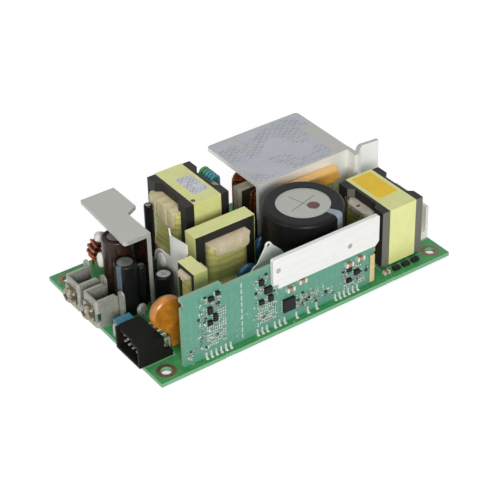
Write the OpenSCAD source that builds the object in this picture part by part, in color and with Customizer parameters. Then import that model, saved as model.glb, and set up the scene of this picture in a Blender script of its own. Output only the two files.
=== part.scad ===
// Open frame power supply: every component stands on one main board.
// Frame: X along the board (outputs at -X, mains inlet at +X), Y towards the
// back, Z up, origin under the board at the centre of its four mounting holes.

/* [Circuit boards] */
// Length of the main board
board_l = 127; // [125:0.5:136]
// Width of the main board
board_w = 76.2; // [75:0.1:82]
// Thickness of both circuit boards
board_t = 1.6; // [1:0.1:2.4]
// Distance from the board's edges to each mounting hole's centre
hole_inset = 5.08; // [4.6:0.02:5.4]
// Diameter of the four mounting holes
hole_d = 3.96; // [3:0.02:4.4]
// Length of the upright control board
control_l = 82; // [78:0.5:84]
// Height of the control board
control_h = 26.2; // [24:0.1:27]
// Extra height of its raised end
control_step = 2.3; // [1:0.1:3]
// Length of its raised end
control_high_l = 16; // [10:0.5:20]
// Distance from the main board's front edge to the control board's face
control_inset = 2.9; // [2.4:0.1:3.2]

/* [Heatsinks] */
// Height of the heatsinks above the main board
sink_h = 30; // [29:0.1:34]
// Sheet thickness of the heatsinks
sink_t = 1.6; // [1:0.1:2]
// Length of the rear heatsink's shelf
shelf_l = 42.4; // [38:0.1:44]
// Depth of the rear heatsink's shelf
shelf_w = 33.6; // [28:0.1:34]
// Depth of the output heatsink's shelf
out_shelf_w = 32.6; // [28:0.1:34]
// Length of the front heatsink plate
plate_l = 46.5; // [40:0.5:48]
// Height of the front heatsink plate
plate_h = 12.6; // [10:0.1:14]

/* [Capacitors] */
// Diameter of the bulk capacitor
bulk_d = 30; // [25:0.5:30]
// Height of the bulk capacitor
bulk_h = 31; // [22:0.5:32]
// Diameter of the output capacitor
out_cap_d = 10.4; // [8:0.1:10.4]
// Height of the output capacitor
out_cap_h = 26; // [20:0.5:27]
// Wall of the plastic sleeves
sleeve_t = 0.3; // [0.2:0.05:0.5]

/* [Wound parts] */
// Length of the two large cores
big_core_l = 25.6; // [23:0.1:26]
// Width of the two large cores across their ends
big_core_w = 18.6; // [16:0.1:19]
// Height of the main transformer above the board
main_tr_h = 30; // [26:0.1:30]
// Height of the boost choke above the board
choke_h = 24.8; // [22:0.1:28]
// Height of the standby transformer above the board
standby_h = 26; // [22:0.1:28]
// Height of the drive transformer above the board
drive_h = 24; // [20:0.1:28]
// Thickness of the tape bands
tape_t = 0.2; // [0.1:0.05:0.4]
// Wire diameter of the line choke
line_wire_d = 0.75; // [0.5:0.05:0.8]
// Turns in each half of the line choke
line_turns = 15; // [8:1:15]
// Wire diameter of the output choke
out_wire_d = 0.9; // [0.7:0.05:0.95]
// Turns of the output choke
out_turns = 11; // [6:1:11]

/* [Connectors] */
// Width of one output terminal
terminal_w = 9; // [7:0.1:9.4]
// Height of the output terminals
terminal_h = 11.4; // [9:0.1:13]
// Sheet thickness of the output terminals
terminal_t = 1; // [0.6:0.1:1.2]
// Distance between the two output terminals
terminal_pitch = 12.2; // [11:0.1:13]
// Width of the signal header
header_w = 15; // [14:0.1:16]
// Height of the signal header
header_h = 9; // [8:0.1:10]
// Height of the inlet's latch wall
inlet_h = 14; // [11:0.1:15]

/* [Hidden] */

smooth = 48;
eps = 0.01;

// Edges and faces of the boards, which the components are placed from
out_x = -board_l / 2;
in_x = board_l / 2;
front_y = -board_w / 2;
back_y = board_w / 2;
hole_dx = board_l - 2 * hole_inset;
hole_dy = board_w - 2 * hole_inset;
control_y = front_y + control_inset;      // front face of the control board
control_x = out_x + 11;                   // its left end

// Large cores: widths and thicknesses
big_mid_w = 14.4;
big_end_l = 5;
big_slope = 1.8;
big_leg = 3.6;
big_yoke = 3.6;
big_post_d = 9;
big_tape_w = 12;
big_rail_l = 2 * (big_core_l / 2 - big_end_l - big_slope) - 0.4;
main_wind_w = 22;
main_flange_w = 24;
boost_wind_w = 20.4;
boost_flange_w = 22.8;
stand = 1.2;                              // gap under a core for its bobbin's feet
seat = 0.05;                              // bobbin to core

main_tr_x = in_x - 76.3;
main_tr_y = back_y - 17.7;
choke_x = in_x - 17.9;
choke_y = front_y + 19.2;

standby_l = 25.2;
standby_w = 6.3;
standby_leg = 3.9;
standby_yoke = 3.4;
standby_post_d = 5.6;
standby_wind_w = 13;
standby_flange_w = 15.4;
standby_x = in_x - 77.9;
standby_y = main_tr_y - big_core_l / 2 - 10;

drive_l = 10;
drive_w = 5.5;
drive_leg = 1.7;
drive_yoke = 1.7;
drive_post_d = 2.6;
drive_wind_w = 7;
drive_flange_w = 9.4;
drive_x = control_x + 17.2;
drive_y = control_y + 19.2;

bulk_x = choke_x - 33.4;
bulk_y = control_y + board_t + 2.5 + bulk_d / 2;
bulk_top_d = bulk_d * 2 / 3;

shelf_x = in_x - 56.4;                    // left edge of the rear shelf
shelf_y = back_y - 0.6 - shelf_w;         // front face of the rear wall
jog_y = 5.1;                              // how far its folded end juts forward
tail_l = 12.2;

out_wall_x = out_x + 23;                  // inner face of the output heatsink's wall
out_shelf_y = back_y - 3.6 - out_shelf_w;
out_shelf_l = 10.7;
out_wing_l = 4.9;                         // how far the shelf's back part juts out
out_wing_w = 15;

plate_x = control_x + 36;
plate_top = sink_h - 0.2;
pad_t = 0.5;

line_ring_r = 11;
line_x = shelf_x + line_ring_r + 1.4;
line_y = shelf_y + sink_t + line_ring_r + 2;
line_hole_r = 6;
line_ring_z = 6;
line_ring_h = 14;

ring_x = out_x + 20;
ring_y = back_y - 5.2;
ring_z = 7.4;
ring_r = 4.4;
ring_hole_r = 2.6;
ring_w = 4;

terminal_x = out_x - 1.8;                 // outer face of the terminals
terminal_l = 9;
terminal_y = 17.2;                        // centre line of the rear terminal
screw_z = 5.5;
screw_d = 3;

header_x = out_x - 1.7;
header_l = 13.5;
header_y = front_y + 18.6;
header_pitch = 2.54;
header_n = 5;

inlet_x = in_x - 0.1;
inlet_y = choke_y + 2;
inlet_l = 18;
inlet_pitch = 3.96;

out_cap_x = out_x + 15.2;
out_cap_y = out_shelf_y + 11;
// Small capacitors: place, diameter and height
small_caps = [
    [out_x + 12.9, out_cap_y - 9.2, 8.2, 21],
    [out_x + 26.7, out_shelf_y - 0.9, 7, 11.6],
    [main_tr_x - 13.8, back_y - 12, 3.4, 23.6],
    [out_x + 19.2, out_cap_y - 9, 3.8, 17],
    [shelf_x - 4.9, shelf_y + 1.7, 8.6, 16]
];

module on_board() translate([0, 0, board_t]) children();

module at(x, y, z = 0, turn = 0)
    on_board() translate([x, y, z]) rotate([0, 0, turn]) children();

// Flat shapes ---------------------------------------------------------------

module rounded_rect(l, w, r) {
    square([l - 2 * r, w], center = true);
    square([l, w - 2 * r], center = true);
    for (sx = [-1, 1], sy = [-1, 1])
        translate([sx * (l / 2 - r), sy * (w / 2 - r)])
            circle(r, $fn = smooth);
}

module chamfered(l, w, c)
    polygon([
        [-l / 2, -w / 2 + c], [-l / 2 + c, -w / 2], [l / 2 - c, -w / 2], [l / 2, -w / 2 + c],
        [l / 2, w / 2 - c], [l / 2 - c, w / 2], [-l / 2 + c, w / 2], [-l / 2, w / 2 - c]
    ]);

// What rounding takes from a corner that points towards (0, 0)
module corner_cut(r) difference() {
    translate([-eps, -eps]) square(r + eps);
    translate([r, r]) circle(r, $fn = smooth);
}

// A quarter turn round centre c, from the angle given
function arc_points(c, r, from) = [for (a = [from:15:from + 90]) c + r * [cos(a), sin(a)]];

// A plate that stands in the XZ plane, with its front face at y = 0
module upright(t) rotate([90, 0, 0]) mirror([0, 0, 1]) linear_extrude(t) children();

// A plate that stands in the YZ plane, with its first face at x = 0
module upright_side(t) rotate([90, 0, 90]) linear_extrude(t) children();

// Boards --------------------------------------------------------------------

module main_board() {
    bite_r = 0.45;
    bite_pitch = 1.3;
    color("#2f9e5f")
    linear_extrude(board_t) difference() {
        square([board_l, board_w], center = true);
        for (sx = [-1, 1], sy = [-1, 1])
            translate([sx * hole_dx / 2, sy * hole_dy / 2])
                circle(d = hole_d, $fn = smooth);
        // Perforations left where the board was snapped from its panel
        for (sx = [-1, 1], sy = [-1, 1], i = [-1:1])
            translate([sx * board_l * 0.28 + i * bite_pitch, sy * (board_w / 2 + bite_r / 3)])
                circle(bite_r, $fn = smooth);
    }
}

module control_board() {
    notch = 1;
    color("#5fa389")
    at(control_x, control_y) upright(board_t) difference() {
        polygon([
            [0, 0], [control_l, 0], [control_l, control_h],
            [control_high_l + 1, control_h], [control_high_l, control_h + control_step],
            [0, control_h + control_step]
        ]);
        // Snapped tab at the raised end
        translate([-eps, control_h - 2]) square([notch, 2.6]);
        translate([control_high_l + 22, control_h - notch]) square([3, notch + eps]);
    }
}

// Bent pins that join the control board's face to the main board:
// the x of each group's first pin from the board's left end, and its count
pin_groups = [[8.6, 6], [30, 3], [37.4, 2], [41.6, 1], [46.8, 1], [51.8, 1], [55.6, 1], [64, 6]];
pin_pitch = 2;

module control_board_pins() {
    pin_w = 0.6;
    pin_t = 0.4;
    up = 2.2;
    foot = 1.3;
    color("silver")
    for (g = pin_groups, i = [0:g[1] - 1])
        at(control_x + g[0] + i * pin_pitch, control_y) upright_side(pin_w)
            polygon([
                [0, 0], [0, up], [-pin_t, up], [-pin_t, pin_t + 0.3],
                [-pin_t - 0.3, pin_t], [-foot, pin_t], [-foot, 0]
            ]);
}

// Surface mount parts on the control board: x and z of the corner, width, height
chips = [
    [10.3, 23.4, 2.2, 1.5], [13.4, 24.8, 1.6, 1.2], [10, 18.2, 1.8, 2.6], [12.2, 14.4, 1.6, 2.8],
    [9.8, 13.6, 1.8, 1.6], [31.2, 20.6, 1.8, 2.2], [33.4, 16.2, 3, 2.4], [31, 12.6, 2, 1.6],
    [35, 12.4, 1.8, 2.4], [41.2, 4.6, 5, 5.2], [69.4, 9.8, 1.8, 2.2], [72.6, 7.2, 2.4, 1.8],
    [69.2, 5.2, 2.2, 1.4]
];
chip_t = 1.2;

module surface_mount_chips() {
    color("#26262a") {
        for (c = chips)
            at(control_x + c[0], control_y - chip_t, c[1]) cube([c[2], chip_t, c[3]]);
        for (i = [0:2])
            at(choke_x - 6 + 4.4 * i, choke_y - big_core_l / 2 - 3.8) cube([2.8, 1.8, chip_t]);
    }
}

module surface_mount_capacitors() {
    body = [3.2, 1.5, 1.6];
    color("#b98a63") {
        for (c = [[43.6, 12.9], [48.8, 14.2], [69.6, 12.2], [74.6, 12.8]])
            at(control_x + c[0] - 1, control_y - body[1], c[1]) cube(body);
        at(choke_x - 10.6, choke_y - big_core_l / 2 - 3.6) cube([2.6, 1.5, 1.1]);
    }
}

// Clusters of small resistors and capacitors: corner x and z, columns, rows
clusters = [[9.6, 4.4, 5, 8], [14.6, 11, 2, 7], [30.6, 4.2, 5, 7], [68.4, 2.6, 6, 2]];

module surface_mount_resistors() {
    chip = [1.0, 0.45, 0.55];
    step_x = 1.62;
    step_z = 1.12;
    color("#c9c7bd")
    for (g = clusters, i = [0:g[2] - 1], j = [0:g[3] - 1])
        if ((i * 5 + j * 3 + g[2]) % 4 != 0)
            at(control_x + g[0] + i * step_x, control_y - chip[1], g[1] + j * step_z)
                cube(chip);
}

// Output terminals ----------------------------------------------------------

// A cage folded from one strip: a front wall with a tapped hole for the screw
// and two side walls that reach back over the board
module output_terminal(y, slotted) {
    fold_r = 1.2;
    color("#b9b8aa")
    at(terminal_x, y) difference() {
        linear_extrude(terminal_h) difference() {
            translate([0, -terminal_w / 2]) square([terminal_l, terminal_w]);
            translate([terminal_t, -terminal_w / 2 + terminal_t])
                square([terminal_l, terminal_w - 2 * terminal_t]);
            for (s = [0, 1])
                mirror([0, s]) translate([0, -terminal_w / 2]) corner_cut(fold_r);
        }
        translate([-eps, 0, screw_z]) rotate([0, 90, 0])
            cylinder(d = screw_d, h = terminal_t + 2 * eps, $fn = smooth);
        // Relief slot at the foot of the fold
        if (slotted)
            translate([-eps, -terminal_w / 2 - eps, 2.4])
                cube([terminal_t + 1.3, terminal_t + eps, 3.8]);
        // Side walls taper towards their back ends
        for (s = [-1, 1])
            translate([terminal_l, s * (terminal_w / 2), terminal_h])
                rotate([0, 45, 0]) cube([1.6, 3 * terminal_t, 1.6], center = true);
    }
}

module rear_output_terminal() output_terminal(terminal_y, false);
module front_output_terminal() output_terminal(terminal_y - terminal_pitch, true);

// Pan head screw with a captive square washer
module terminal_screw() {
    head_d = 5.6;
    head_h = 1.9;
    washer = 6.8;
    washer_t = 0.7;
    recess = 1;
    rotate([0, -90, 0]) difference() {
        union() {
            linear_extrude(washer_t) rounded_rect(washer, washer, 1.2);
            translate([0, 0, washer_t]) cylinder(d = head_d, h = head_h - 0.6, $fn = smooth);
            translate([0, 0, washer_t + head_h - 0.6])
                cylinder(d1 = head_d, d2 = head_d - 1.4, h = 0.6, $fn = smooth);
            translate([0, 0, -terminal_t - 1.4])
                cylinder(d = screw_d - 0.1, h = terminal_t + 1.4 + eps, $fn = smooth);
        }
        for (a = [0, 90]) rotate([0, 0, a])
            translate([-1.6, -0.35, washer_t + head_h - recess]) cube([3.2, 0.7, 2]);
    }
}

module terminal_screws()
    color("#c9c3b4")
    for (i = [0, 1])
        at(terminal_x, terminal_y - i * terminal_pitch, screw_z) terminal_screw();

module sense_tabs() {
    tab_w = 3.6;
    tab_t = 0.8;
    tab_h = terminal_h + 1.6;
    hole_d = 1.3;
    color("#b9b8aa")
    for (y = [terminal_y + 5.4, terminal_y - 6.2, terminal_y - 18.2])
        at(terminal_x + terminal_l + 0.25, y) upright_side(tab_t) difference() {
            union() {
                translate([-tab_w / 2, 0]) square([tab_w, tab_h - tab_w / 2]);
                translate([0, tab_h - tab_w / 2]) circle(d = tab_w, $fn = smooth);
            }
            for (z = [tab_h - tab_w / 2, tab_h - tab_w / 2 - 3])
                translate([0, z]) circle(d = hole_d, $fn = smooth);
        }
}

// Signal header -------------------------------------------------------------

header_wall = 1;
header_body_l = 10.2;
header_back = 8.4;                        // depth of the cavity
header_rows = [header_h / 2 - header_pitch / 2, header_h / 2 + header_pitch / 2];
header_tails = [header_body_l + 1.5, header_body_l + 3.4];

// Open box with side wings that guard the bent pins behind it
module signal_header() {
    wing_h = 3.4;
    color("#2b2b28")
    at(header_x, header_y) difference() {
        union() {
            translate([0, -header_w / 2, 0]) cube([header_body_l, header_w, header_h]);
            for (s = [-1, 1]) translate([0, s * (header_w - header_wall) / 2, 0])
                rotate([90, 0, 0]) linear_extrude(header_wall, center = true)
                    polygon([
                        [header_body_l - 1, 0], [header_l, 0], [header_l, wing_h * 0.6],
                        [header_l - 0.8, wing_h], [header_body_l - 1, wing_h]
                    ]);
        }
        translate([-eps, -header_w / 2 + header_wall, header_wall])
            cube([header_back, header_w - 2 * header_wall, header_h - 2 * header_wall]);
        // Stepped front edge of the roof
        translate([-eps, -header_w * 0.2, header_h - header_wall - eps])
            cube([0.8, header_w * 0.62, header_wall + 2 * eps]);
        header_pin_paths(0.02);
    }
}

// Square pins in two rows, bent down to the board behind the housing
module header_pin_paths(grow = 0) {
    s = 0.64 + 2 * grow;
    for (row = [0, 1], i = [0:header_n - 1])
        translate([0, (i - (header_n - 1) / 2) * header_pitch, 0]) {
            translate([2 - grow, -s / 2, header_rows[row] - s / 2])
                cube([header_tails[row] - 2 + grow, s, s]);
            translate([header_tails[row] - s / 2, -s / 2, 0])
                cube([s, s, header_rows[row] + s / 2]);
        }
}

module signal_header_pins()
    color("#d8c48a") at(header_x, header_y) header_pin_paths();

// Trimmer and small discs ---------------------------------------------------

trimmer_size = [6.3, 3.6, 7];
trimmer_x = header_x + 3;
trimmer_y = header_y + header_w / 2 + 3.2;

module trimmer()
    color("#3f86a6")
    at(trimmer_x, trimmer_y - 0.6) difference() {
        cube(trimmer_size);
        translate([-eps, trimmer_size[1] / 2, trimmer_size[2] - 1.9]) rotate([0, 90, 0])
            cylinder(d = 2.2, h = 1, $fn = smooth);
    }

// White end plate with moulded ribs, and the slotted adjusting screw in it
module trimmer_screw() {
    plate_t = 0.5;
    color("#e8e8e2")
    at(trimmer_x, trimmer_y - 0.6) {
        for (i = [0:3])
            translate([-plate_t, i * 0.98, 0]) cube([plate_t, 0.6, 4]);
        translate([-0.8, trimmer_size[1] / 2, trimmer_size[2] - 1.9]) rotate([0, 90, 0])
            difference() {
                cylinder(d = 2, h = 1.6, $fn = smooth);
                translate([-1.2, -0.2, -eps]) cube([2.4, 0.4, 0.4]);
            }
    }
}

// A coated disc on two leads, its coating drawn down along the leads; the
// leads stand off-centre by shift, and a skirt of coating may join them
module disc(d, t, lift, lead_gap, lead_d = 0.7, shift = 0, skirt = false) {
    foot = lead_gap / 2 + lead_d;
    translate([0, 0, lift + d / 2]) rotate([90, 0, 0]) union() {
        cylinder(d = d - t / 2, h = t, center = true, $fn = smooth);
        rotate_extrude($fn = smooth) translate([d / 2 - t / 2, 0]) intersection() {
            circle(t / 2, $fn = smooth);
            translate([-d / 2 + t / 2, -t]) square([d, 2 * t]);
        }
    }
    for (s = [-1, 1]) translate([shift + s * lead_gap / 2, 0, 0]) {
        cylinder(d = lead_d, h = lift + d / 3, $fn = 24);
        translate([0, 0, lift - 2.2])
            cylinder(d1 = lead_d + 0.3, d2 = lead_d * 2.2, h = 2.2 + d / 4, $fn = 24);
    }
    if (skirt)
        translate([0, -t * 0.36, 0]) upright(t * 0.72) polygon([
            [shift - foot, 0.8], [shift + foot, 0.8], [d * 0.46, lift + d * 0.36],
            [-d * 0.42, lift + d * 0.26], [shift - foot - 0.4, lift * 0.7]
        ]);
}

module coated_disc()
    color("#b8700f") at(control_x + 1.5, control_y + 12.4) disc(12.8, 4, 9, 2.5, 0.7, 2.8, true);

module ceramic_disc()
    color("#c4c4be") at(control_x + 2.2, header_y + 14.2, 0, 20) disc(4.4, 1.6, 3.4, 2, 0.5);

// Places of the two blue discs and how far each is turned
y_cap_t = 2.6;
y_caps = [
    [bulk_x + (bulk_d / 2 + y_cap_t / 2 + 0.5) * cos(118),
     bulk_y + (bulk_d / 2 + y_cap_t / 2 + 0.5) * sin(118), 28],
    [standby_x + 4.5, standby_y - standby_flange_w / 2 - y_cap_t / 2 - 1, 0]
];

module y_capacitors()
    color("#2f6f9a")
    for (c = y_caps) at(c[0], c[1], 0, c[2]) disc(8.6, y_cap_t, 3, 5);

// Electrolytic capacitors ---------------------------------------------------

module can_shape(d, h, edge) {
    cylinder(d = d, h = h - edge, $fn = smooth);
    cylinder(d = d - 2 * edge, h = h, $fn = smooth);
    translate([0, 0, h - edge]) rotate_extrude($fn = smooth)
        translate([d / 2 - edge, 0]) circle(edge, $fn = 32);
}

// Bare can: rolled bead near the seal and a cross vent stamped in the top
module can(d, h) {
    edge = max(0.5, d / 22);
    vent = d * 0.22;
    difference() {
        can_shape(d - 2 * sleeve_t, h - sleeve_t, edge);
        for (a = [15, 105]) rotate([0, 0, a])
            translate([-vent, -0.12, h - sleeve_t - 0.25]) cube([2 * vent, 0.24, 1]);
        // Seal recess underneath
        translate([0, 0, -eps]) cylinder(d = d * 0.7, h = 0.5, $fn = smooth);
    }
}

module sleeve(d, h, open_d) {
    edge = max(0.5, d / 22);
    difference() {
        can_shape(d, h, edge + sleeve_t);
        translate([0, 0, -eps]) can_shape(d - 2 * sleeve_t, h - sleeve_t + eps, edge);
        cylinder(d = open_d, h = h + 1, $fn = smooth);
    }
}

module bulk_capacitor_can()
    color("#a9a9a2") at(bulk_x, bulk_y) can(bulk_d, bulk_h);
module bulk_capacitor_sleeve()
    color("#2b2b2c") at(bulk_x, bulk_y) sleeve(bulk_d, bulk_h, bulk_top_d);

module output_capacitor_can()
    color("#b0aea6") at(out_cap_x, out_cap_y) can(out_cap_d, out_cap_h);
module output_capacitor_sleeve()
    color("#33221d") at(out_cap_x, out_cap_y) sleeve(out_cap_d, out_cap_h, out_cap_d * 0.62);

module small_capacitor_cans()
    color("#b0aea6") for (c = small_caps) at(c[0], c[1]) can(c[2], c[3]);
module small_capacitor_sleeves()
    color("#232326") for (c = small_caps) at(c[0], c[1]) sleeve(c[2], c[3], c[2] * 0.72);

// Transformers and the boost choke ------------------------------------------
// Each is drawn with its core frame in the XZ plane and turned into place.

// Plan of a core: wide ends and a waisted middle
module core_plan(l, w_end, w_mid, end_l, slope) {
    a = l / 2;
    b = l / 2 - end_l;
    c = b - slope;
    polygon([
        [a, -w_end / 2], [a, w_end / 2], [b, w_end / 2], [c, w_mid / 2],
        [-c, w_mid / 2], [-b, w_end / 2], [-a, w_end / 2], [-a, -w_end / 2],
        [-b, -w_end / 2], [-c, -w_mid / 2], [c, -w_mid / 2], [b, -w_end / 2]
    ]);
}

// Two glued core halves: top and bottom yokes, outer legs and a round post
module core_frame(l, w_end, leg, yoke, post_d, h) {
    difference() {
        linear_extrude(h) children();
        translate([0, 0, yoke]) linear_extrude(h - 2 * yoke) difference() {
            square([l - 2 * leg, w_end + 2], center = true);
            circle(d = post_d, $fn = smooth);
        }
    }
}

// Bobbin: tube on the post, two flanges with cut corners, hanging lips and pin
// rails. The lips reach down by the two values in lip, one at each end.
module bobbin(window_l, flange_w, mid_w, post_d, z0, z1, lip, chamfer, rail_l) {
    flange_t = 1;
    lip_t = 1;
    lip_r = min(lip) / 2;
    rail_w = (flange_w - mid_w) / 2 - 0.4;
    end = window_l / 2 - chamfer;
    difference() {
        union() {
            translate([0, 0, z0]) cylinder(d = post_d + 2, h = z1 - z0, $fn = smooth);
            for (z = [z0, z1 - flange_t])
                translate([0, 0, z]) linear_extrude(flange_t)
                    chamfered(window_l, flange_w, chamfer);
            // Lips hang outside the winding, with two wire guides each
            for (s = [-1, 1]) difference() {
                translate([0, s * (flange_w - lip_t) / 2, z1 - flange_t / 2]) rotate([90, 0, 0])
                    linear_extrude(lip_t, center = true) polygon(concat(
                        [[end, 0], [-end, 0]],
                        arc_points([lip_r - end, lip_r - lip[0]], lip_r, 180),
                        arc_points([end - lip_r, lip_r - lip[1]], lip_r, 270)
                    ));
                for (g = [-1, 1])
                    translate([g * window_l / 5, s * (flange_w / 2 + 0.1), z0])
                        cylinder(r = 0.6, h = z1 - z0 + 1, $fn = 24);
            }
            // Rails stand on the board and hold the pins
            for (s = [-1, 1])
                translate([-rail_l / 2, s > 0 ? flange_w / 2 - rail_w : -flange_w / 2, -stand])
                    cube([rail_l, rail_w, z0 + stand + eps]);
        }
        translate([0, 0, z0 - eps])
            cylinder(d = post_d + 0.2, h = z1 - z0 + 2 * eps, $fn = smooth);
    }
}

module winding(window_l, w, post_d, z0, z1) {
    translate([0, 0, z0]) linear_extrude(z1 - z0) difference() {
        rounded_rect(window_l - 0.5, w, min(3, w / 4));
        circle(d = post_d + 2.04, $fn = smooth);
    }
}

module tape_band(l, w, h) {
    difference() {
        translate([-l / 2 - tape_t, -w / 2, -tape_t])
            cube([l + 2 * tape_t, w, h + 2 * tape_t]);
        translate([-l / 2, -w / 2 - eps, 0]) cube([l, w + 2 * eps, h]);
    }
}

module big_core(h)
    core_frame(big_core_l, big_core_w, big_leg, big_yoke, big_post_d, h)
        core_plan(big_core_l, big_core_w, big_mid_w, big_end_l, big_slope);

module big_bobbin(h, flange_w, lip, chamfer)
    bobbin(big_core_l - 2 * big_leg - 0.4, flange_w, big_mid_w, big_post_d,
           big_yoke + seat, h - big_yoke - seat, lip, chamfer, big_rail_l);

module big_winding(h, w)
    winding(big_core_l - 2 * big_leg - 0.4, w, big_post_d,
            big_yoke + seat + 1, h - big_yoke - seat - 1);

main_core_h = main_tr_h - stand - tape_t;
boost_core_h = choke_h - stand - tape_t;
standby_core_h = standby_h - stand - tape_t;
drive_core_h = drive_h - stand - tape_t;

module main_tr() at(main_tr_x, main_tr_y, stand, 90) children();
module boost() at(choke_x, choke_y, stand, 90) children();
module standby() at(standby_x, standby_y, stand) children();
module drive() at(drive_x, drive_y, stand, 90) children();

module main_transformer_core() color("#3a3838") main_tr() big_core(main_core_h);
module main_transformer_bobbin() color("#d9bfa0") main_tr() big_bobbin(main_core_h, main_flange_w, [8.4, 5], 1.4);
module main_transformer_winding() color("#b4b85c") main_tr() big_winding(main_core_h, main_wind_w);
module main_transformer_tape()
    color("#d6db86") main_tr() tape_band(big_core_l, big_tape_w - 0.4, main_core_h);
module main_transformer_label()
    color("#e6e4ea")
    at(main_tr_x + 1, main_tr_y - 1.4, main_tr_h, 90) linear_extrude(0.1)
        square([12, 6.6], center = true);

module boost_choke_core() color("#3a3838") boost() big_core(boost_core_h);
module boost_choke_bobbin() color("#cdc3ac") boost() big_bobbin(boost_core_h, boost_flange_w, [1.4, 1.4], 4.6);
module boost_choke_winding() color("#b4b85c") boost() big_winding(boost_core_h, boost_wind_w);
module boost_choke_tape()
    color("#eff0a8") boost() tape_band(big_core_l, big_tape_w, boost_core_h);
module boost_choke_label()
    color("#e0be22")
    at(choke_x, choke_y + 3.6, choke_h, 90) linear_extrude(0.1)
        square([16, 8.8], center = true);

module standby_transformer_core()
    color("#2e2d30") standby()
        core_frame(standby_l, standby_w, standby_leg, standby_yoke, standby_post_d, standby_core_h)
            square([standby_l, standby_w], center = true);
module standby_transformer_bobbin()
    color("#dcc3a8") standby()
        bobbin(standby_l - 2 * standby_leg - 0.4, standby_flange_w, standby_w, standby_post_d,
               standby_yoke + seat, standby_core_h - standby_yoke - seat, [3.6, 4.2], 1.2,
               standby_l - 2 * standby_leg - 1.6);
module standby_transformer_winding()
    color("#b9bd62") standby()
        winding(standby_l - 2 * standby_leg - 0.4, standby_wind_w, standby_post_d,
                standby_yoke + seat + 1, standby_core_h - standby_yoke - seat - 1);
module standby_transformer_tape()
    color("#d6db86") standby() tape_band(standby_l, standby_w, standby_core_h);

module drive_transformer_core()
    color("#2e2d30") drive()
        core_frame(drive_l, drive_w, drive_leg, drive_yoke, drive_post_d, drive_core_h)
            square([drive_l, drive_w], center = true);
module drive_transformer_bobbin()
    color("#dcc3a8") drive()
        bobbin(drive_l - 2 * drive_leg - 0.4, drive_flange_w, drive_w, drive_post_d,
               drive_yoke + seat, drive_core_h - drive_yoke - seat, [1.6, 1.6], 1.1,
               drive_l - 2 * drive_leg - 1.2);
module drive_transformer_winding()
    color("#a8a24a") drive()
        winding(drive_l - 2 * drive_leg - 0.4, drive_wind_w, drive_post_d,
                drive_yoke + seat + 1, drive_core_h - drive_yoke - seat - 1);
module drive_transformer_tape()
    color("#d6db86") drive() tape_band(drive_l, drive_w, drive_core_h);

// Sleeved lead wires that rise off the main transformer's upper flange and
// arch down over its edge to the board
module lead_sleeves() {
    tube_d = 1.3;
    pitch = 1.7;
    arch_r = 1.7;
    top_z = main_tr_h - tape_t - big_yoke;
    out_x = main_tr_x + main_flange_w / 2 + tube_d / 2 + 1.5;
    color("#2e7f8f")
    for (i = [0:4])
        at(out_x, main_tr_y + 1 + i * pitch) {
            cylinder(d = tube_d, h = top_z, $fn = 24);
            translate([-arch_r, 0, top_z]) rotate([90, 0, 0])
                rotate_extrude(angle = 180, $fn = smooth)
                    translate([arch_r, 0]) circle(d = tube_d, $fn = 24);
        }
}

// Heatsinks -----------------------------------------------------------------

// Rear heatsink: a wall whose end is folded forward and back into a tail, and
// whose top is folded back into a shelf
module rear_heatsink() {
    bend = 1.5;
    fold = shelf_l - 1.4;
    tail = shelf_l + tail_l;
    color("#a3a6a0")
    at(shelf_x, shelf_y) {
        linear_extrude(sink_h) polygon([
            [0, 0], [fold, 0], [fold - 0.6, -jog_y], [fold + 0.6, -jog_y - 0.3],
            [fold + 2.6, -jog_y + 1.2], [fold + 4.6, -jog_y + 3.2], [fold + 6, -jog_y + 3.9],
            [tail, -jog_y + 3.2], [tail, -jog_y + 3.2 + sink_t],
            [fold + 5.6, -jog_y + 3.9 + sink_t], [fold + 3.6, -jog_y + 4.4],
            [fold + 1.6, -jog_y + 2.4], [fold + sink_t, 0], [fold + sink_t, sink_t],
            [0, sink_t]
        ]);
        translate([0, 0, sink_h - sink_t]) linear_extrude(sink_t) difference() {
            square([shelf_l, shelf_w]);
            // Rounded outer corners
            for (s = [0, 1])
                translate([s * shelf_l, shelf_w]) mirror([s, 0]) mirror([0, 1]) corner_cut(bend);
        }
    }
}

// Three labels on the rear shelf: one large in front and two behind it
module heatsink_labels() {
    edge = 0.9;
    t = 0.12;
    split = shelf_w * 0.7;
    color("#d6d6e0")
    at(shelf_x, shelf_y, sink_h) {
        translate([edge, edge]) linear_extrude(t) square([shelf_l * 0.82, split - edge]);
        for (x = [[edge, 8.6], [shelf_l * 0.28, shelf_l * 0.7]])
            translate([x[0], split + 0.7])
                linear_extrude(t) square([x[1], shelf_w - split - edge - 0.7]);
    }
}

// Output heatsink: a wall along the board's depth, folded into a wide shelf
module output_heatsink() {
    r = 1.4;
    color("#a8a79c")
    at(out_wall_x, out_shelf_y) {
        translate([-sink_t, 0, 0])
            cube([sink_t, out_shelf_w - out_wing_w - 2.6, sink_h]);
        translate([0, 0, sink_h - sink_t]) linear_extrude(sink_t) difference() {
            polygon([
                [-out_shelf_l, 0], [0, 0], [0, out_shelf_w - out_wing_w - 2.6],
                [out_wing_l, out_shelf_w - out_wing_w], [out_wing_l, out_shelf_w],
                [-out_shelf_l + 1.7, out_shelf_w]
            ]);
            translate([-out_shelf_l, 0]) corner_cut(r);
        }
    }
}

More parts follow.
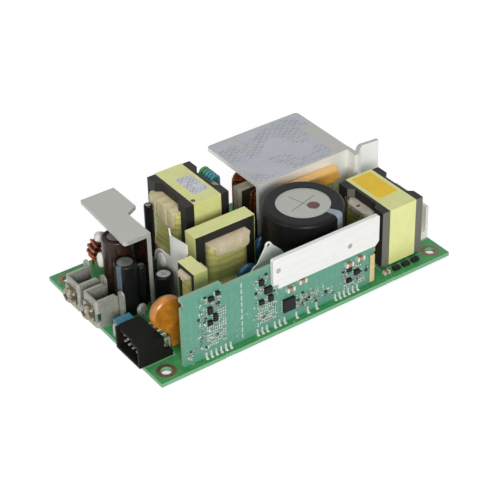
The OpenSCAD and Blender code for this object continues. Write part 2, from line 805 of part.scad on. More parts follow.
// Plate screwed to the control board's power devices, above its parts
module front_heatsink() {
    corner = 1.6;
    hole = 2;
    color("#f2f2ee")
    at(plate_x, control_y - pad_t - sink_t, plate_top - plate_h) upright(sink_t)
        difference() {
            polygon([
                [0, plate_h * 0.16], [2.2, plate_h * 0.16], [2.2, 0], [plate_l - corner, 0],
                [plate_l, corner], [plate_l, plate_h - 0.6], [plate_l - 0.6, plate_h],
                [0.6, plate_h], [0, plate_h - 0.6]
            ]);
            for (p = [[2.3, 7.6], [33.4, 4.7]])
                translate(p) circle(d = hole, $fn = smooth);
        }
    // Spacers between the plate and the board
    color("#f2f2ee")
    for (x = [6, 24, 38])
        at(plate_x + x, control_y - pad_t, plate_top - plate_h + 2) cube([5, pad_t, 5]);
}

// Power package: plastic body, tab with a hole, three leads
module power_package() {
    body = [10.2, 4.4, 9.2];
    tab_t = 1.3;
    tab_h = 6.4;
    leg = 5;
    translate([-body[0] / 2, 0, leg]) cube(body);
    translate([-body[0] / 2, 0, leg + body[2] - eps]) difference() {
        cube([body[0], tab_t, tab_h]);
        translate([body[0] / 2, -eps, tab_h - 3]) rotate([-90, 0, 0])
            cylinder(d = 3.6, h = tab_t + 2 * eps, $fn = smooth);
    }
    for (i = [-1:1]) translate([i * 2.54 - 0.4, 2.2, 0]) cube([0.8, 0.5, leg + eps]);
}

module output_rectifier()
    color("#2a2a2c")
    at(out_wall_x, out_shelf_y + 9.4, 0, -90) power_package();

module power_transistors()
    color("#2a2a2c")
    for (x = [31.4, 43.4])
        at(shelf_x + x - 1.5, shelf_y + sink_t) power_package();

// Sheets --------------------------------------------------------------------

// Stamped insulating paper that stands between the output and mains sides
module insulating_sheet()
    color("#e4e2da")
    at(out_x + 31.2, drive_y + 8) upright_side(0.5) union() {
        polygon([
            [0, 0], [11, 0], [11, 24.2], [11.4, 27.6], [10.6, 24.8], [0, 26.6]
        ]);
        translate([11, 4.6]) square([6, 10.4]);
        translate([17, 9.8]) circle(5.2, $fn = smooth);
    }

module corner_sheet()
    color("#d5d8d0")
    at(bulk_x - bulk_d / 2 - 15.8, control_y + 9.8) upright(0.5) difference() {
        union() {
            polygon([
                [0, 0], [17, 0], [17, 18.4], [14.6, 22.4], [10.2, 27], [7.6, 26.6],
                [4, 20.6], [2.4, 20], [0, 17]
            ]);
            translate([8.9, 26.8]) circle(1.4, $fn = smooth);
        }
        translate([8.9, 26.8]) circle(0.7, $fn = smooth);
    }

// Mains inlet header --------------------------------------------------------

module input_connector() {
    base_l = 5.8;
    base_h = 3.4;
    latch_t = 1.3;
    color("#eeede8")
    at(inlet_x, inlet_y) difference() {
        union() {
            translate([-base_l, -inlet_l / 2, 0]) cube([base_l, inlet_l, base_h]);
            translate([-latch_t, -inlet_l / 2, 0]) cube([latch_t, inlet_l, inlet_h]);
            // Latch bead and two ribs
            for (s = [-1, 1]) translate([-latch_t - 1, s * inlet_l * 0.3 - 0.5, 0])
                cube([1 + eps, 1, inlet_h * 0.6]);
        }
        inlet_pin_paths(0.02);
    }
}

module inlet_pin_paths(grow = 0) {
    s = 1.14 + 2 * grow;
    for (i = [-1, 0, 1])
        translate([-4 - s / 2, i * inlet_pitch * 1.3 - s / 2, 0]) cube([s, s, inlet_h - 2.4]);
}

module input_connector_pins() color("silver") at(inlet_x, inlet_y) inlet_pin_paths();

// Film capacitors and fuse --------------------------------------------------

film_size = [23.2, 3.8, 4.8];
film_top = sink_h - sink_t - 2.2;

// Orange case on a narrower moulded foot, in front of the rear wall
module film_capacitor() {
    foot = 1.3;
    color("#d99a3a")
    at(shelf_x + 10.5, shelf_y - film_size[1] - 0.3) {
        translate([0, 0, film_top - film_size[2]]) cube(film_size);
        translate([foot, 0.5, 0])
            cube([film_size[0] - 2 * foot - 0.6, film_size[1] - 0.5, film_top - film_size[2] + eps]);
    }
}

module x_capacitor() {
    size = [26.5, 9, 18];
    color("#c9b04a")
    at(shelf_x + 26.6, back_y - 12.6) difference() {
        cube(size);
        // Moulded feet leave a gap over the board
        translate([2, -eps, -eps]) cube([size[0] - 4, size[1] + 2 * eps, 0.6]);
    }
}

module fuse()
    color("#3b3a38")
    at(in_x - 6.6, back_y - 17.6) union() {
        translate([0, 0, 1]) cylinder(d = 8.4, h = 7.4, $fn = smooth);
        for (s = [-1, 1]) translate([0, s * 2.54, 0]) cylinder(d = 0.7, h = 1 + eps, $fn = 24);
    }

// Toroids: powder and ferrite rings with swept wire ----------------------------

module ring_core(r, hole_r, h) difference() {
    cylinder(r = r, h = h, center = true, $fn = smooth);
    cylinder(r = hole_r, h = h + 1, center = true, $fn = smooth);
}

module toroid_cores()
    color("#4a4a44") {
        at(line_x, line_y, line_ring_z + line_ring_h / 2)
            ring_core(line_ring_r, line_hole_r, line_ring_h);
        at(ring_x, ring_y, ring_z) rotate([90, 0, 0]) ring_core(ring_r, ring_hole_r, ring_w);
    }

// One turn of wire round a ring's section is a rounded rectangle, half wide
// and high, with corners of radius rc; each corner has three points
function turn_point(k, half, high, rc) =
    let (c = floor(k / 3), ang = 90 * c + 45 * (k % 3))
    [(c == 0 || c == 3 ? 1 : -1) * (half - rc) + rc * cos(ang),
     (c < 2 ? 1 : -1) * (high - rc) + rc * sin(ang)];

function turn_lengths(half, high, rc) =
    let (v = 2 * (high - rc), h = 2 * (half - rc), b = PI * rc / 4)
    [v, b, b, h, b, b, v, b, b, h, b, b];

function part_sum(v, n) = n == 0 ? 0 : v[n - 1] + part_sum(v, n - 1);

// Centre line of the coil: it advances round the ring as it winds, and ends
// under the ring, where it turns outwards and down into its lead
function coil_path(r, half, high, rc, turns, from, span, drop) =
    let (
        lens = turn_lengths(half, high, rc),
        total = part_sum(lens, 12),
        n = turns * 12 - 2,
        end = from + span * n / (turns * 12)
    )
    concat(
        [[(r + half) * cos(from), (r + half) * sin(from), -drop]],
        [for (i = [0:n])
            let (
                f = (floor(i / 12) + part_sum(lens, i % 12) / total) / turns,
                w = turn_point((i + 11) % 12, half, high, rc)
            )
            [(r + w[0]) * cos(from + span * f), (r + w[0]) * sin(from + span * f), w[1]]],
        [for (q = [[half - 0.3 * rc, -high - 0.3 * rc], [half, -high - rc], [half, -drop]])
            [(r + q[0]) * cos(end), (r + q[0]) * sin(end), q[1]]]
    );

function unit(v) = v / norm(v);

// Rings of a tube along a path, each square to the path there. The ring's
// tangent lies across the wire everywhere, so it keeps the rings from twisting.
function tube_rings(path, d, sides) =
    let (n = len(path) - 1)
    [for (i = [0:n])
        let (
            p = path[i],
            along = unit(path[min(i + 1, n)] - path[max(i - 1, 0)]),
            u = unit(cross(along, [-p[1], p[0], 0])),
            v = cross(u, along)
        )
        for (k = [0:sides - 1])
            p + d / 2 * (cos(360 * k / sides) * u + sin(360 * k / sides) * v)];

module tube(path, d, sides = 6) {
    n = len(path);
    polyhedron(
        points = tube_rings(path, d, sides),
        faces = concat(
            [[for (k = [sides - 1:-1:0]) k]],
            [[for (k = [0:sides - 1]) (n - 1) * sides + k]],
            [for (i = [0:n - 2], k = [0:sides - 1], half = [0, 1])
                let (m = (k + 1) % sides, a = i * sides, b = a + sides)
                half == 0 ? [a + k, b + m, b + k] : [a + k, a + m, b + m]]
        ),
        convexity = 10
    );
}

wire_gap = 0.1;                           // wire to ring

// Two halves of the line choke, front and back of the ring
module line_choke_winding() {
    half = (line_ring_r - line_hole_r + line_wire_d) / 2 + wire_gap;
    high = (line_ring_h + line_wire_d) / 2 + wire_gap;
    drop = line_ring_z + line_ring_h / 2;
    span = 124;
    color("#b5502a")
    for (side = [-1, 1])
        at(line_x, line_y, drop)
            tube(coil_path((line_ring_r + line_hole_r) / 2, half, high, 0.8 * line_wire_d,
                           line_turns, side * 90 - span / 2, span, drop), line_wire_d);
}

// The output choke stands on edge, so its leads leave the ring's rim
module output_choke_winding() {
    half = (ring_r - ring_hole_r + out_wire_d) / 2 + wire_gap;
    high = (ring_w + out_wire_d) / 2 + wire_gap;
    span = 290;
    path = coil_path((ring_r + ring_hole_r) / 2, half, high, 0.8 * out_wire_d,
                     out_turns, -90 + (360 - span) / 2, span, high + 0.6 * out_wire_d);
    n = len(path) - 1;
    first = path[1];
    last = path[n - 3];
    color("#b5502a")
    at(ring_x, ring_y, ring_z) rotate([90, 0, 0])
        tube(concat(
            [[first[0], -ring_z, first[2]]],
            [for (i = [1:n - 3]) path[i]],
            [[last[0] * 1.06, last[1] * 1.3, last[2]], [last[0] * 1.06, -ring_z, last[2]]]
        ), out_wire_d, 8);
}

// Plastic seat and divider that hold the line choke's ring
module line_choke_base() {
    fin = 3;
    reach = line_ring_r + 1.6;
    color("#d8d2bf")
    at(line_x, line_y) difference() {
        union() {
            cylinder(r = line_ring_r - 0.4, h = line_ring_z - 1.2, $fn = smooth);
            translate([-reach, -fin / 2, 0])
                cube([2 * reach, fin, line_ring_z + line_ring_h + 1.4]);
        }
        translate([0, 0, line_ring_z]) difference() {
            cylinder(r = line_ring_r, h = line_ring_h, $fn = smooth);
            translate([0, 0, -eps]) cylinder(r = line_hole_r, h = line_ring_h + 1, $fn = smooth);
        }
        translate([0, 0, -eps]) difference() {
            cylinder(r = line_hole_r - 0.2, h = line_ring_z, $fn = smooth);
            translate([-line_ring_r, -fin / 2, -1]) cube([2 * line_ring_r, fin, line_ring_z + 2]);
        }
    }
}

// Solder side ----------------------------------------------------------------

// Places of the soldered leads, worked out from the components above
joints = concat(
    [for (i = [0:4], s = [-1, 1]) [main_tr_x + s * 10.4, main_tr_y + (i - 2) * 3.6]],
    [for (i = [0:4], s = [-1, 1]) [choke_x + s * 10.4, choke_y + (i - 2) * 3.6]],
    [for (i = [0:3], s = [-1, 1]) [standby_x + (i - 1.5) * 4, standby_y + s * 6]],
    [for (i = [0, 1], s = [-1, 1]) [drive_x + s * 3.7, drive_y + (i - 0.5) * 4]],
    [for (s = [-1, 1]) [bulk_x + s * 5, bulk_y]],
    [for (s = [-1, 1]) [out_cap_x, out_cap_y + s * 2.5]],
    [for (c = small_caps, s = [-1, 1]) [c[0] + s * c[2] / 4, c[1]]],
    [for (i = [0, 1], s = [-1, 1]) [terminal_x + 6, terminal_y - i * terminal_pitch + s * 4]],
    [for (i = [0:header_n - 1], row = [0, 1])
        [header_x + header_tails[row], header_y + (i - 2) * header_pitch]],
    [for (i = [-1:1]) [inlet_x - 4, inlet_y + i * inlet_pitch * 1.3]],
    [for (x = [2, shelf_l - 4, shelf_l + 10]) [shelf_x + x, shelf_y + 0.4]],
    [for (y = [2, 12]) [out_wall_x - 0.8, out_shelf_y + y]],
    [for (g = pin_groups, i = [0:g[1] - 1]) [control_x + g[0] + i * pin_pitch + 0.3, control_y + 0.6]]
);

module solder_joints() {
    pad_d = 1.7;
    tip_d = 0.7;
    drop = 1.1;
    color("silver")
    for (p = joints)
        translate([p[0], p[1], -drop]) cylinder(d1 = tip_d, d2 = pad_d, h = drop, $fn = 24);
}

// ---------------------------------------------------------------------------

main_board();
control_board();
control_board_pins();
surface_mount_chips();
surface_mount_capacitors();
surface_mount_resistors();
rear_output_terminal();
front_output_terminal();
terminal_screws();
sense_tabs();
signal_header();
signal_header_pins();
trimmer();
trimmer_screw();
coated_disc();
ceramic_disc();
y_capacitors();
output_heatsink();
output_rectifier();
bulk_capacitor_can();
bulk_capacitor_sleeve();
output_capacitor_can();
output_capacitor_sleeve();
small_capacitor_cans();
small_capacitor_sleeves();
main_transformer_core();
main_transformer_bobbin();
main_transformer_winding();
main_transformer_tape();
main_transformer_label();
lead_sleeves();
standby_transformer_core();
standby_transformer_bobbin();
standby_transformer_winding();
standby_transformer_tape();
drive_transformer_core();
drive_transformer_bobbin();
drive_transformer_winding();
drive_transformer_tape();
boost_choke_core();
boost_choke_bobbin();
boost_choke_winding();
boost_choke_tape();
boost_choke_label();
rear_heatsink();
heatsink_labels();
power_transistors();
front_heatsink();
insulating_sheet();
corner_sheet();
input_connector();
input_connector_pins();
film_capacitor();
x_capacitor();
fuse();
toroid_cores();
output_choke_winding();
line_choke_winding();
line_choke_base();
solder_joints();
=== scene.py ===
# %% [markdown]
# # Dressing an open frame power supply
# The solids come from the CAD model and already stand in their places. This
# notebook gives each of them the finish of the real material, adds the thin
# things that solids leave out, such as solder, glue, silk print and tiny
# chips, and sets up a plain studio. Lengths in the cells are millimetres,
# because that is how a board is measured; Blender itself gets metres.

# %% Load the solids
import math

import bmesh
import bpy
import numpy as np
from mathutils import Matrix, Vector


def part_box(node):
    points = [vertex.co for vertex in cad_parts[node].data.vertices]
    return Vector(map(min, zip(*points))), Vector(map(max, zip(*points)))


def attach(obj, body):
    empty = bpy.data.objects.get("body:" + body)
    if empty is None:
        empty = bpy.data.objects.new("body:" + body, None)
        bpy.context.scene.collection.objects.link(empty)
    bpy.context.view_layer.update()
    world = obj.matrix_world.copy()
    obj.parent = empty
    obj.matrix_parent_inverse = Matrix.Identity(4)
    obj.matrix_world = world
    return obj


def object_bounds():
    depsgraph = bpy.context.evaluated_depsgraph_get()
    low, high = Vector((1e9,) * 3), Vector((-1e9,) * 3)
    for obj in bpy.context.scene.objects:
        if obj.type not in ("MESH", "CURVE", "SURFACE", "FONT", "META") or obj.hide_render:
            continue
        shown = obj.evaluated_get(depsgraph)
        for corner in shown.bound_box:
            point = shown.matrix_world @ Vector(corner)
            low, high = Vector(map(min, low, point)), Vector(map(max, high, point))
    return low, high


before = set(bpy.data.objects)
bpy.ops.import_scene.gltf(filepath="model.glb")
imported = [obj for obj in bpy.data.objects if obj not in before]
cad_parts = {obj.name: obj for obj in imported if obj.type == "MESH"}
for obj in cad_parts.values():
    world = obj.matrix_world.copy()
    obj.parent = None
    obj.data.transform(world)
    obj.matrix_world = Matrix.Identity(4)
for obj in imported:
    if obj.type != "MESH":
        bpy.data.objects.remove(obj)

MM = 0.001
scene = bpy.context.scene
cad_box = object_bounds()
print("solids:", len(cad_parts), "box:", cad_box)

# %% [markdown]
# ## From a formula to a piece
# A new piece could be modelled by hand. Here it is a grid of points worked
# out by a formula, which states the real sizes and gives the same mesh on
# every run. One function joins neighbouring points into faces, and another
# makes a piece of them that rides with the board. It merges equal points,
# which closes seams and poles, and only then turns the faces outwards.

# %% Faces of a grid
def grid_faces(rows, cols):
    """Faces of a grid whose columns close to a ring: each joins a point and
    its neighbours in the row, diagonally on and in the column."""
    i, j = np.meshgrid(np.arange(rows - 1), np.arange(cols), indexing="ij")
    on = (j + 1) % cols
    around = [i * cols + j, i * cols + on, (i + 1) * cols + on, (i + 1) * cols + j]
    return np.stack(around, -1).reshape(-1, 4)


print("a ring of 3 rows and 4 columns has", len(grid_faces(3, 4)), "faces")

# %% A piece of the board
SAME_POINT, NO_EDGE = 1e-6, 1e-7  # metres


def piece(name, shape, look, smooth=True):
    """Points in millimetres and faces become a named piece of the board."""
    points, faces = shape
    points = np.asarray(points, float).reshape(-1, 3) * MM
    mesh = bpy.data.meshes.new(name)
    mesh.from_pydata(points.tolist(), [], np.asarray(faces).tolist())
    bm = bmesh.new()
    bm.from_mesh(mesh)
    bmesh.ops.remove_doubles(bm, verts=bm.verts, dist=SAME_POINT)
    bmesh.ops.dissolve_degenerate(bm, edges=bm.edges, dist=NO_EDGE)
    bmesh.ops.recalc_face_normals(bm, faces=bm.faces)
    bm.to_mesh(mesh)
    bm.free()
    mesh.polygons.foreach_set("use_smooth", np.full(len(mesh.polygons), smooth))
    made = bpy.data.objects.new(name, mesh)
    scene.collection.objects.link(made)
    mesh.materials.append(look["material"])
    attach(made, "root")
    print(name, len(mesh.polygons), "faces")


# %% [markdown]
# ## Where things are
# The solids know their own places, so nothing is measured twice. Some nodes
# hold many small separate solids, such as the chips on the control board.
# Blender can split a mesh into loose parts, but that would change it, so the
# parts are only found: each triangle passes the lowest number it has heard
# of to its corners until nothing changes, and every solid then has its own.

# %% Corners, boxes and separate solids of a node
def corners(node):
    """Every corner of a node's mesh."""
    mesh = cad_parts[node].data
    points = np.zeros(len(mesh.vertices) * 3, np.float32)
    mesh.vertices.foreach_get("co", points)
    return points.reshape(-1, 3) / MM


def box(node):
    """Lowest and highest corner of a node."""
    low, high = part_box(node)
    return np.array(low) / MM, np.array(high) / MM


def solids(node):
    """Lowest and highest corners of every separate solid in a node."""
    faces = np.array([p.vertices[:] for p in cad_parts[node].data.polygons])
    spots, same = np.unique(np.round(corners(node), 3), axis=0, return_inverse=True)
    faces, label = same.reshape(-1)[faces], np.arange(len(spots))
    while True:
        new = label.copy()
        np.minimum.at(new, faces.ravel(), np.repeat(label[faces].min(1), faces.shape[1]))
        if (new == label).all():
            break
        label = new
    names = np.unique(label[np.unique(faces)])
    return (np.array([spots[label == n].min(0) for n in names]),
            np.array([spots[label == n].max(0) for n in names]))


board_low, board_high = box("main_board")
top = board_high[2]
print("board top at", round(float(top), 2), "mm; chips:", len(solids("surface_mount_chips")[0]))

# %% [markdown]
# ## Camera
# The camera looks down at about 35 degrees from the front left corner, with
# a long lens from far away, so that the board hardly narrows towards the
# back. It could be aimed with a Track To constraint, but that can't give it
# the slight roll. So its turn is built from three axes: right, up and back.

# %% Camera
TURN, TILT, ROLL = math.radians(-34.653), math.radians(35.129), math.radians(-1.41)
LENS, SENSOR = 113.53, 36
NEAREST, FARTHEST = 0.01, 20  # metres
place = np.array([-268.95, -389.05, 339.26 + top])
back = np.array([math.sin(TURN) * math.cos(TILT), -math.cos(TURN) * math.cos(TILT), math.sin(TILT)])
right = np.array([math.cos(TURN), math.sin(TURN), 0])
up = np.cross(back, right)
right, up = (math.cos(ROLL) * right + math.sin(ROLL) * up,
             math.cos(ROLL) * up - math.sin(ROLL) * right)
camera = bpy.data.objects.new("camera", bpy.data.cameras.new("camera"))
camera.data.lens, camera.data.sensor_width = LENS, SENSOR
camera.data.clip_start, camera.data.clip_end = NEAREST, FARTHEST
axes = [[right[i], up[i], back[i], place[i] * MM] for i in range(3)]
camera.matrix_world = Matrix(axes + [[0, 0, 0, 1]])
scene.collection.objects.link(camera)
scene.camera = camera
print("camera at", place.round(1))

# %% [markdown]
# ## Studio
# A broad soft lamp low in front, a little to the left, gives the bright
# faces. A weaker one on the left keeps the shaded sides open, one above
# lifts the tops, and a dim pale world fills the rest. More light would make
# the background white too, but it would wash out the colours. So the floor
# and the world turn white only for rays that the eye follows, straight,
# mirrored or through glass, and that white never lights the board.

# %% Colours and nodes
def linear(code):
    """A hex colour as written on screen, turned into linear light."""
    v = np.array([int(code[i : i + 2], 16) / 255 for i in (1, 3, 5)])
    v = np.where(v <= 0.04045, v / 12.92, ((v + 0.055) / 1.055) ** 2.4)
    return (*v.tolist(), 1.0)


def blank(owner):
    """The emptied node tree of a world or a material."""
    owner.use_nodes = True
    owner.node_tree.nodes.clear()
    return owner.node_tree


def add(tree, kind, inputs=(), stops=(), **settings):
    """Adds one node; inputs holds plain values, sockets to link from, or
    nodes, which give their first output; stops are a colour ramp's two ends."""
    node = tree.nodes.new("ShaderNode" + kind)
    for key, value in settings.items():
        setattr(node, key, value)
    for key, value in dict(inputs).items():
        if isinstance(value, bpy.types.Node):
            value = value.outputs[0]
        if isinstance(value, bpy.types.NodeSocket):
            tree.links.new(value, node.inputs[key])
        else:
            node.inputs[key].default_value = value
    for i, (spot, colour) in enumerate(stops):
        node.color_ramp.elements[i].position, node.color_ramp.elements[i].color = spot, colour
    return node


print("half grey on screen is", round(linear("#808080")[0], 3), "in linear light")

# %% World
WHITE = (1, 1, 1, 1)
FILL_COLOUR, FILL_STRENGTH = (0.95, 0.98, 1.0, 1), 0.25
scene.view_settings.view_transform = "Standard"


def seen(tree):
    """1 for rays that the eye follows: straight, mirrored or through glass."""
    rays = add(tree, "LightPath").outputs
    either = add(tree, "Math", {0: rays["Is Camera Ray"], 1: rays["Is Glossy Ray"]}, operation="MAXIMUM")
    return add(tree, "Math", {0: either, 1: rays["Is Transmission Ray"]}, operation="MAXIMUM")


scene.world = bpy.data.worlds.new("studio")
tree = blank(scene.world)
fill = add(tree, "Background", {"Color": FILL_COLOUR, "Strength": FILL_STRENGTH})
white = add(tree, "Background", {"Color": WHITE, "Strength": 1.0})
both = add(tree, "MixShader", {0: seen(tree), 1: fill, 2: white})
add(tree, "OutputWorld", {"Surface": both})
print("world fills with a strength of", FILL_STRENGTH)

# %% Lamps
LAMPS = (  # name, place and width in metres, power in watts
    ("key", (-0.45, -0.98, 0.45), 0.45, 10.0),
    ("left", (-1.0, -0.10, 0.50), 0.5, 2.2),
    ("top", (0.15, 0.25, 1.0), 0.5, 1.6),
)
for name, spot, width, watts in LAMPS:
    lamp = bpy.data.lights.new(name, "AREA")
    lamp.size, lamp.energy = width, watts
    holder = bpy.data.objects.new(name, lamp)
    holder.location = spot
    holder.rotation_euler = (-holder.location).to_track_quat("-Z", "Y").to_euler()
    scene.collection.objects.link(holder)
print("lamps:", ", ".join(lamp[0] for lamp in LAMPS))

# %% Floor
REACH = 3  # metres from the middle to each side
PAPER, PAPER_GLOW = (0.82, 0.82, 0.82, 1), 0.62
lowest = cad_box[0][2]
floor_mesh = bpy.data.meshes.new("floor")
sides = [(-REACH, -REACH), (REACH, -REACH), (REACH, REACH), (-REACH, REACH)]
floor_mesh.from_pydata([(x, y, lowest) for x, y in sides], [], [(0, 1, 2, 3)])
floor = bpy.data.objects.new("floor", floor_mesh)
scene.collection.objects.link(floor)
paper = bpy.data.materials.new("studio_paper")
tree = blank(paper)
matt = add(tree, "BsdfDiffuse", {"Color": PAPER})
glow = add(tree, "Emission", {"Color": WHITE, "Strength": PAPER_GLOW})
lit = add(tree, "AddShader", {0: matt, 1: glow})
shown = add(tree, "MixShader", {0: seen(tree), 1: matt, 2: lit})
add(tree, "OutputMaterial", {"Surface": shown})
floor.data.materials.append(paper)
print("floor at", round(lowest / MM, 2), "mm")

# %% [markdown]
# ## A plan for every finish
# Real surfaces are never one colour. An image could be laid on each, but a
# pattern worked out from its real grain stays sharp at any distance and
# needs no unwrapping. Most finishes share a plan: a fine grain varies the
# colour between two shades and the gloss with it, and a bump gives it
# height. Each finish below starts from it and adds what is special.

# %% The shared plan
RAMP = (0.3, 0.7)  # where noise turns from the dark to the light shade
METAL = 0.5  # from this share of metal on, the index of refraction stays


def finish(name, light, dark, grain, rough, bump=0.02, metallic=0.0, ior=1.5,
           stretch=(1, 1, 1), coat=0.0, shine=0.5):
    """Noise with a grain of so many millimetres mixes a dark and a light
    shade, slides the roughness between two values, and lifts a bump so many
    millimetres high. Returns the look: its material and sockets to build on."""
    material = bpy.data.materials.new(name)
    tree = blank(material)
    spot = add(tree, "TexCoord").outputs["Object"]
    sized = add(tree, "Mapping", {"Vector": spot, "Scale": stretch})
    grains = add(tree, "TexNoise", {
        "Vector": sized, "Scale": 1000 / grain, "Detail": 4.0, "Roughness": 0.6}).outputs["Fac"]
    shades = add(tree, "ValToRGB", {"Fac": grains},
                 [(RAMP[0], linear(dark)), (RAMP[1], linear(light))])
    gloss = add(tree, "MapRange", {"Value": grains, "To Min": rough[0], "To Max": rough[1]})
    height = add(tree, "Bump", {"Height": grains, "Strength": 0.5, "Distance": bump * MM})
    shader = add(tree, "BsdfPrincipled", {
        "Base Color": shades, "Roughness": gloss, "Normal": height, "Metallic": metallic,
        "Coat Weight": coat, "Specular IOR Level": shine})
    if metallic < METAL:
        shader.inputs["IOR"].default_value = ior
    add(tree, "OutputMaterial", {"Surface": shader})
    return {"material": material, "tree": tree, "spot": spot, "colour": shades, "height": height,
            "shader": shader}


def dress(look, *nodes):
    """Gives a finish to the nodes' material slots."""
    for name in nodes:
        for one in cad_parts[name].material_slots:
            one.material = look["material"]
    print(look["material"].name, "->", ", ".join(nodes))


print("the two shades blend between", RAMP, "of the noise")

# %% [markdown]
# ## Circuit boards
# A board is glass laminate under a thin green solder mask. The copper tracks
# under the mask show as slightly lighter bands, and the sawn edges show the
# paler laminate. Tracks could be drawn one by one, but nobody follows them
# by eye, so bands broken up by a coarse noise draw them, and rings on a cell
# pattern, with some cells left out, draw the plated holes. Masks like these
# are made as numbers from 0 to 1 and lay a second colour over the first.

# %% A colour over part of a finish
def over(look, mask, colour):
    """Lays a colour over the finish: where the mask is 1, only it is seen."""
    mix = add(look["tree"], "Mix", {"Factor": mask, 6: look["colour"], 7: linear(colour)},
              data_type="RGBA")
    look["colour"] = mix.outputs[2]
    look["tree"].links.new(mix.outputs[2], look["shader"].inputs["Base Color"])


def facing(look, axis, share, operation):
    """1 where the normal's part along an axis, taken without its sign, is
    over or under the share given."""
    normal = add(look["tree"], "NewGeometry").outputs["Normal"]
    split = add(look["tree"], "SeparateXYZ", {0: normal})
    along = add(look["tree"], "Math", {0: split.outputs[axis]}, operation="ABSOLUTE")
    return add(look["tree"], "Math", {0: along, 1: share}, operation=operation)


print("a face leaning 60 degrees off an axis has a share of", round(math.cos(math.radians(60)), 2))

# %% Solder mask on laminate
WAVE = 314  # Blender's wave repeats every 2 pi / 20 of its scale: 314 gives 1 mm
CLOUD = 50 / 7  # mm across the patches that break the tracks up
TRACK_FROM, TRACK_TO = 0.34, 0.4
PAD, DRILL, KEPT = 0.16, 0.07, 0.45  # shares of a cell, and of all cells
PAD_COLOUR, DRILL_COLOUR = "#b9bda6", "#2c3a2e"


def board_finish(name, light, dark, track, edge, along, pitch, flat, spread, strength):
    """Tracks lie across one axis at a pitch; plated holes stand a spread
    apart; faces that don't look along the flat axis are sawn edges."""
    look = finish(name, light, dark, grain=2.2, rough=(0.34, 0.5), bump=0.01, shine=0.35)
    tree = look["tree"]
    lines = add(tree, "TexWave", {
        "Vector": look["spot"], "Scale": WAVE / pitch, "Distortion": 1.2, "Detail": 1.0,
        "Detail Scale": 0.3}, bands_direction=along)
    patch = add(tree, "TexNoise", {"Vector": look["spot"], "Scale": 1000 / CLOUD, "Detail": 2.0})
    broken = add(tree, "Math", {0: lines.outputs["Fac"], 1: patch.outputs["Fac"]}, operation="MULTIPLY")
    tracks = add(tree, "MapRange", {
        "Value": broken, "From Min": TRACK_FROM, "From Max": TRACK_TO, "To Max": strength})
    over(look, tracks, track)
    cells = add(tree, "TexVoronoi", {"Vector": look["spot"], "Scale": 1000 / spread})
    chance = add(tree, "SeparateColor", {0: cells.outputs["Color"]})
    kept = add(tree, "Math", {0: chance, 1: KEPT}, operation="GREATER_THAN")
    for reach, colour in ((PAD, PAD_COLOUR), (DRILL, DRILL_COLOUR)):
        near = add(tree, "Math", {0: cells.outputs["Distance"], 1: reach}, operation="LESS_THAN")
        disc = add(tree, "Math", {0: near, 1: kept}, operation="MULTIPLY")
        over(look, disc, colour)
    over(look, facing(look, flat, 0.5, "LESS_THAN"), edge)
    return look


dress(board_finish("green_solder_mask_on_laminate", "#46a05e", "#38884c", "#58b06e", "#74a680",
                   along="Y", pitch=1.5, flat=2, spread=3.4, strength=0.3), "main_board")
dress(board_finish("teal_solder_mask_on_laminate", "#5f9883", "#558c77", "#70a791", "#88ac93",
                   along="X", pitch=2.4, flat=1, spread=2.3, strength=0.12), "control_board")

# %% [markdown]
# ## Bare metal
# Folded sheet keeps the fine lines of the rolling mill, cans are drawn from
# sheet and look satin, and the terminals' tin plating is dull and light
# grey. Lines could be given by an anisotropic shader, but at this size a
# noise stretched along one direction looks the same and bakes well. Old
# plating mirrors little, so only part of it is set as metal.

# %% Tin and copper
# Solder cools unevenly: bright on the crests, grey between them.
tinned = finish("tinned_copper_and_solder", "#c9c9c4", "#94948e", grain=0.5, rough=(0.22, 0.42),
                metallic=1.0)
dress(tinned, "solder_joints", "input_connector_pins")
# Chip ends are dipped and matt, nearly white.
chip_ends = finish("dull_tinned_chip_ends", "#ecebe6", "#c9c8c2", grain=0.5, rough=(0.35, 0.5),
                   bump=0.01, metallic=0.3)
dress(chip_ends, "control_board_pins")
# Connector pins are drawn square and plated, so they are smooth and pale.
dress(finish("tinned_square_pin", "#e8e4d4", "#c6c0ac", grain=0.6, rough=(0.25, 0.38),
             bump=0.004, metallic=0.6), "signal_header_pins")
# Enamel over copper deepens its colour and adds a clear gloss.
dress(finish("enamelled_copper_wire", "#c4602f", "#7c3418", grain=0.9, rough=(0.2, 0.34),
             bump=0.006, metallic=0.6, coat=0.3), "output_choke_winding", "line_choke_winding")

# %% Sheet, cans and screws
# Mill lines run along the sheet, so its gloss changes across them only. The
# rear sheet's wall, tail and edges get a paler colour than its shelf: painted light on its upright faces.
mill, wall_painted_light = (
    finish(name, "#bcbcb6", "#aeaea8", grain=0.5, rough=(0.4, 0.55), bump=0.006, metallic=0.3,
           stretch=(1, 14, 1)) for name in ("mill_finish_aluminium_sheet", "aluminium_wall_painted_light"))
# painted light: every upright face of the rear sheet is laid over with near white
over(wall_painted_light, facing(wall_painted_light, 2, 0.5, "LESS_THAN"), "#e9e9e6")
dress(mill, "output_heatsink")
dress(wall_painted_light, "rear_heatsink")
# The front plate is bright, with hardly any line left in it.
dress(finish("bright_aluminium_plate", "#e9e9e5", "#e0e0dc", grain=0.8, rough=(0.36, 0.48),
             bump=0.002, metallic=0.1, stretch=(0.1, 1, 1)), "front_heatsink")
# Drawing a can stretches its skin to a fine satin.
dress(finish("drawn_aluminium_can", "#aeb0a9", "#989a93", grain=0.35, rough=(0.38, 0.56),
             bump=0.012, metallic=0.8), "bulk_capacitor_can", "output_capacitor_can", "small_capacitor_cans")
# Tin plating on folded steel clouds over with handling.
dress(finish("tin_plated_steel_sheet", "#aeaea4", "#8e8e84", grain=0.7, rough=(0.4, 0.58),
             bump=0.015, metallic=0.35), "rear_output_terminal", "front_output_terminal", "sense_tabs")
# Nickel keeps its shine and looks darker and warmer than tin.
dress(finish("nickel_plated_screw", "#a39c8d", "#6f685b", grain=0.7, rough=(0.22, 0.4),
             bump=0.01, metallic=0.9), "terminal_screws")

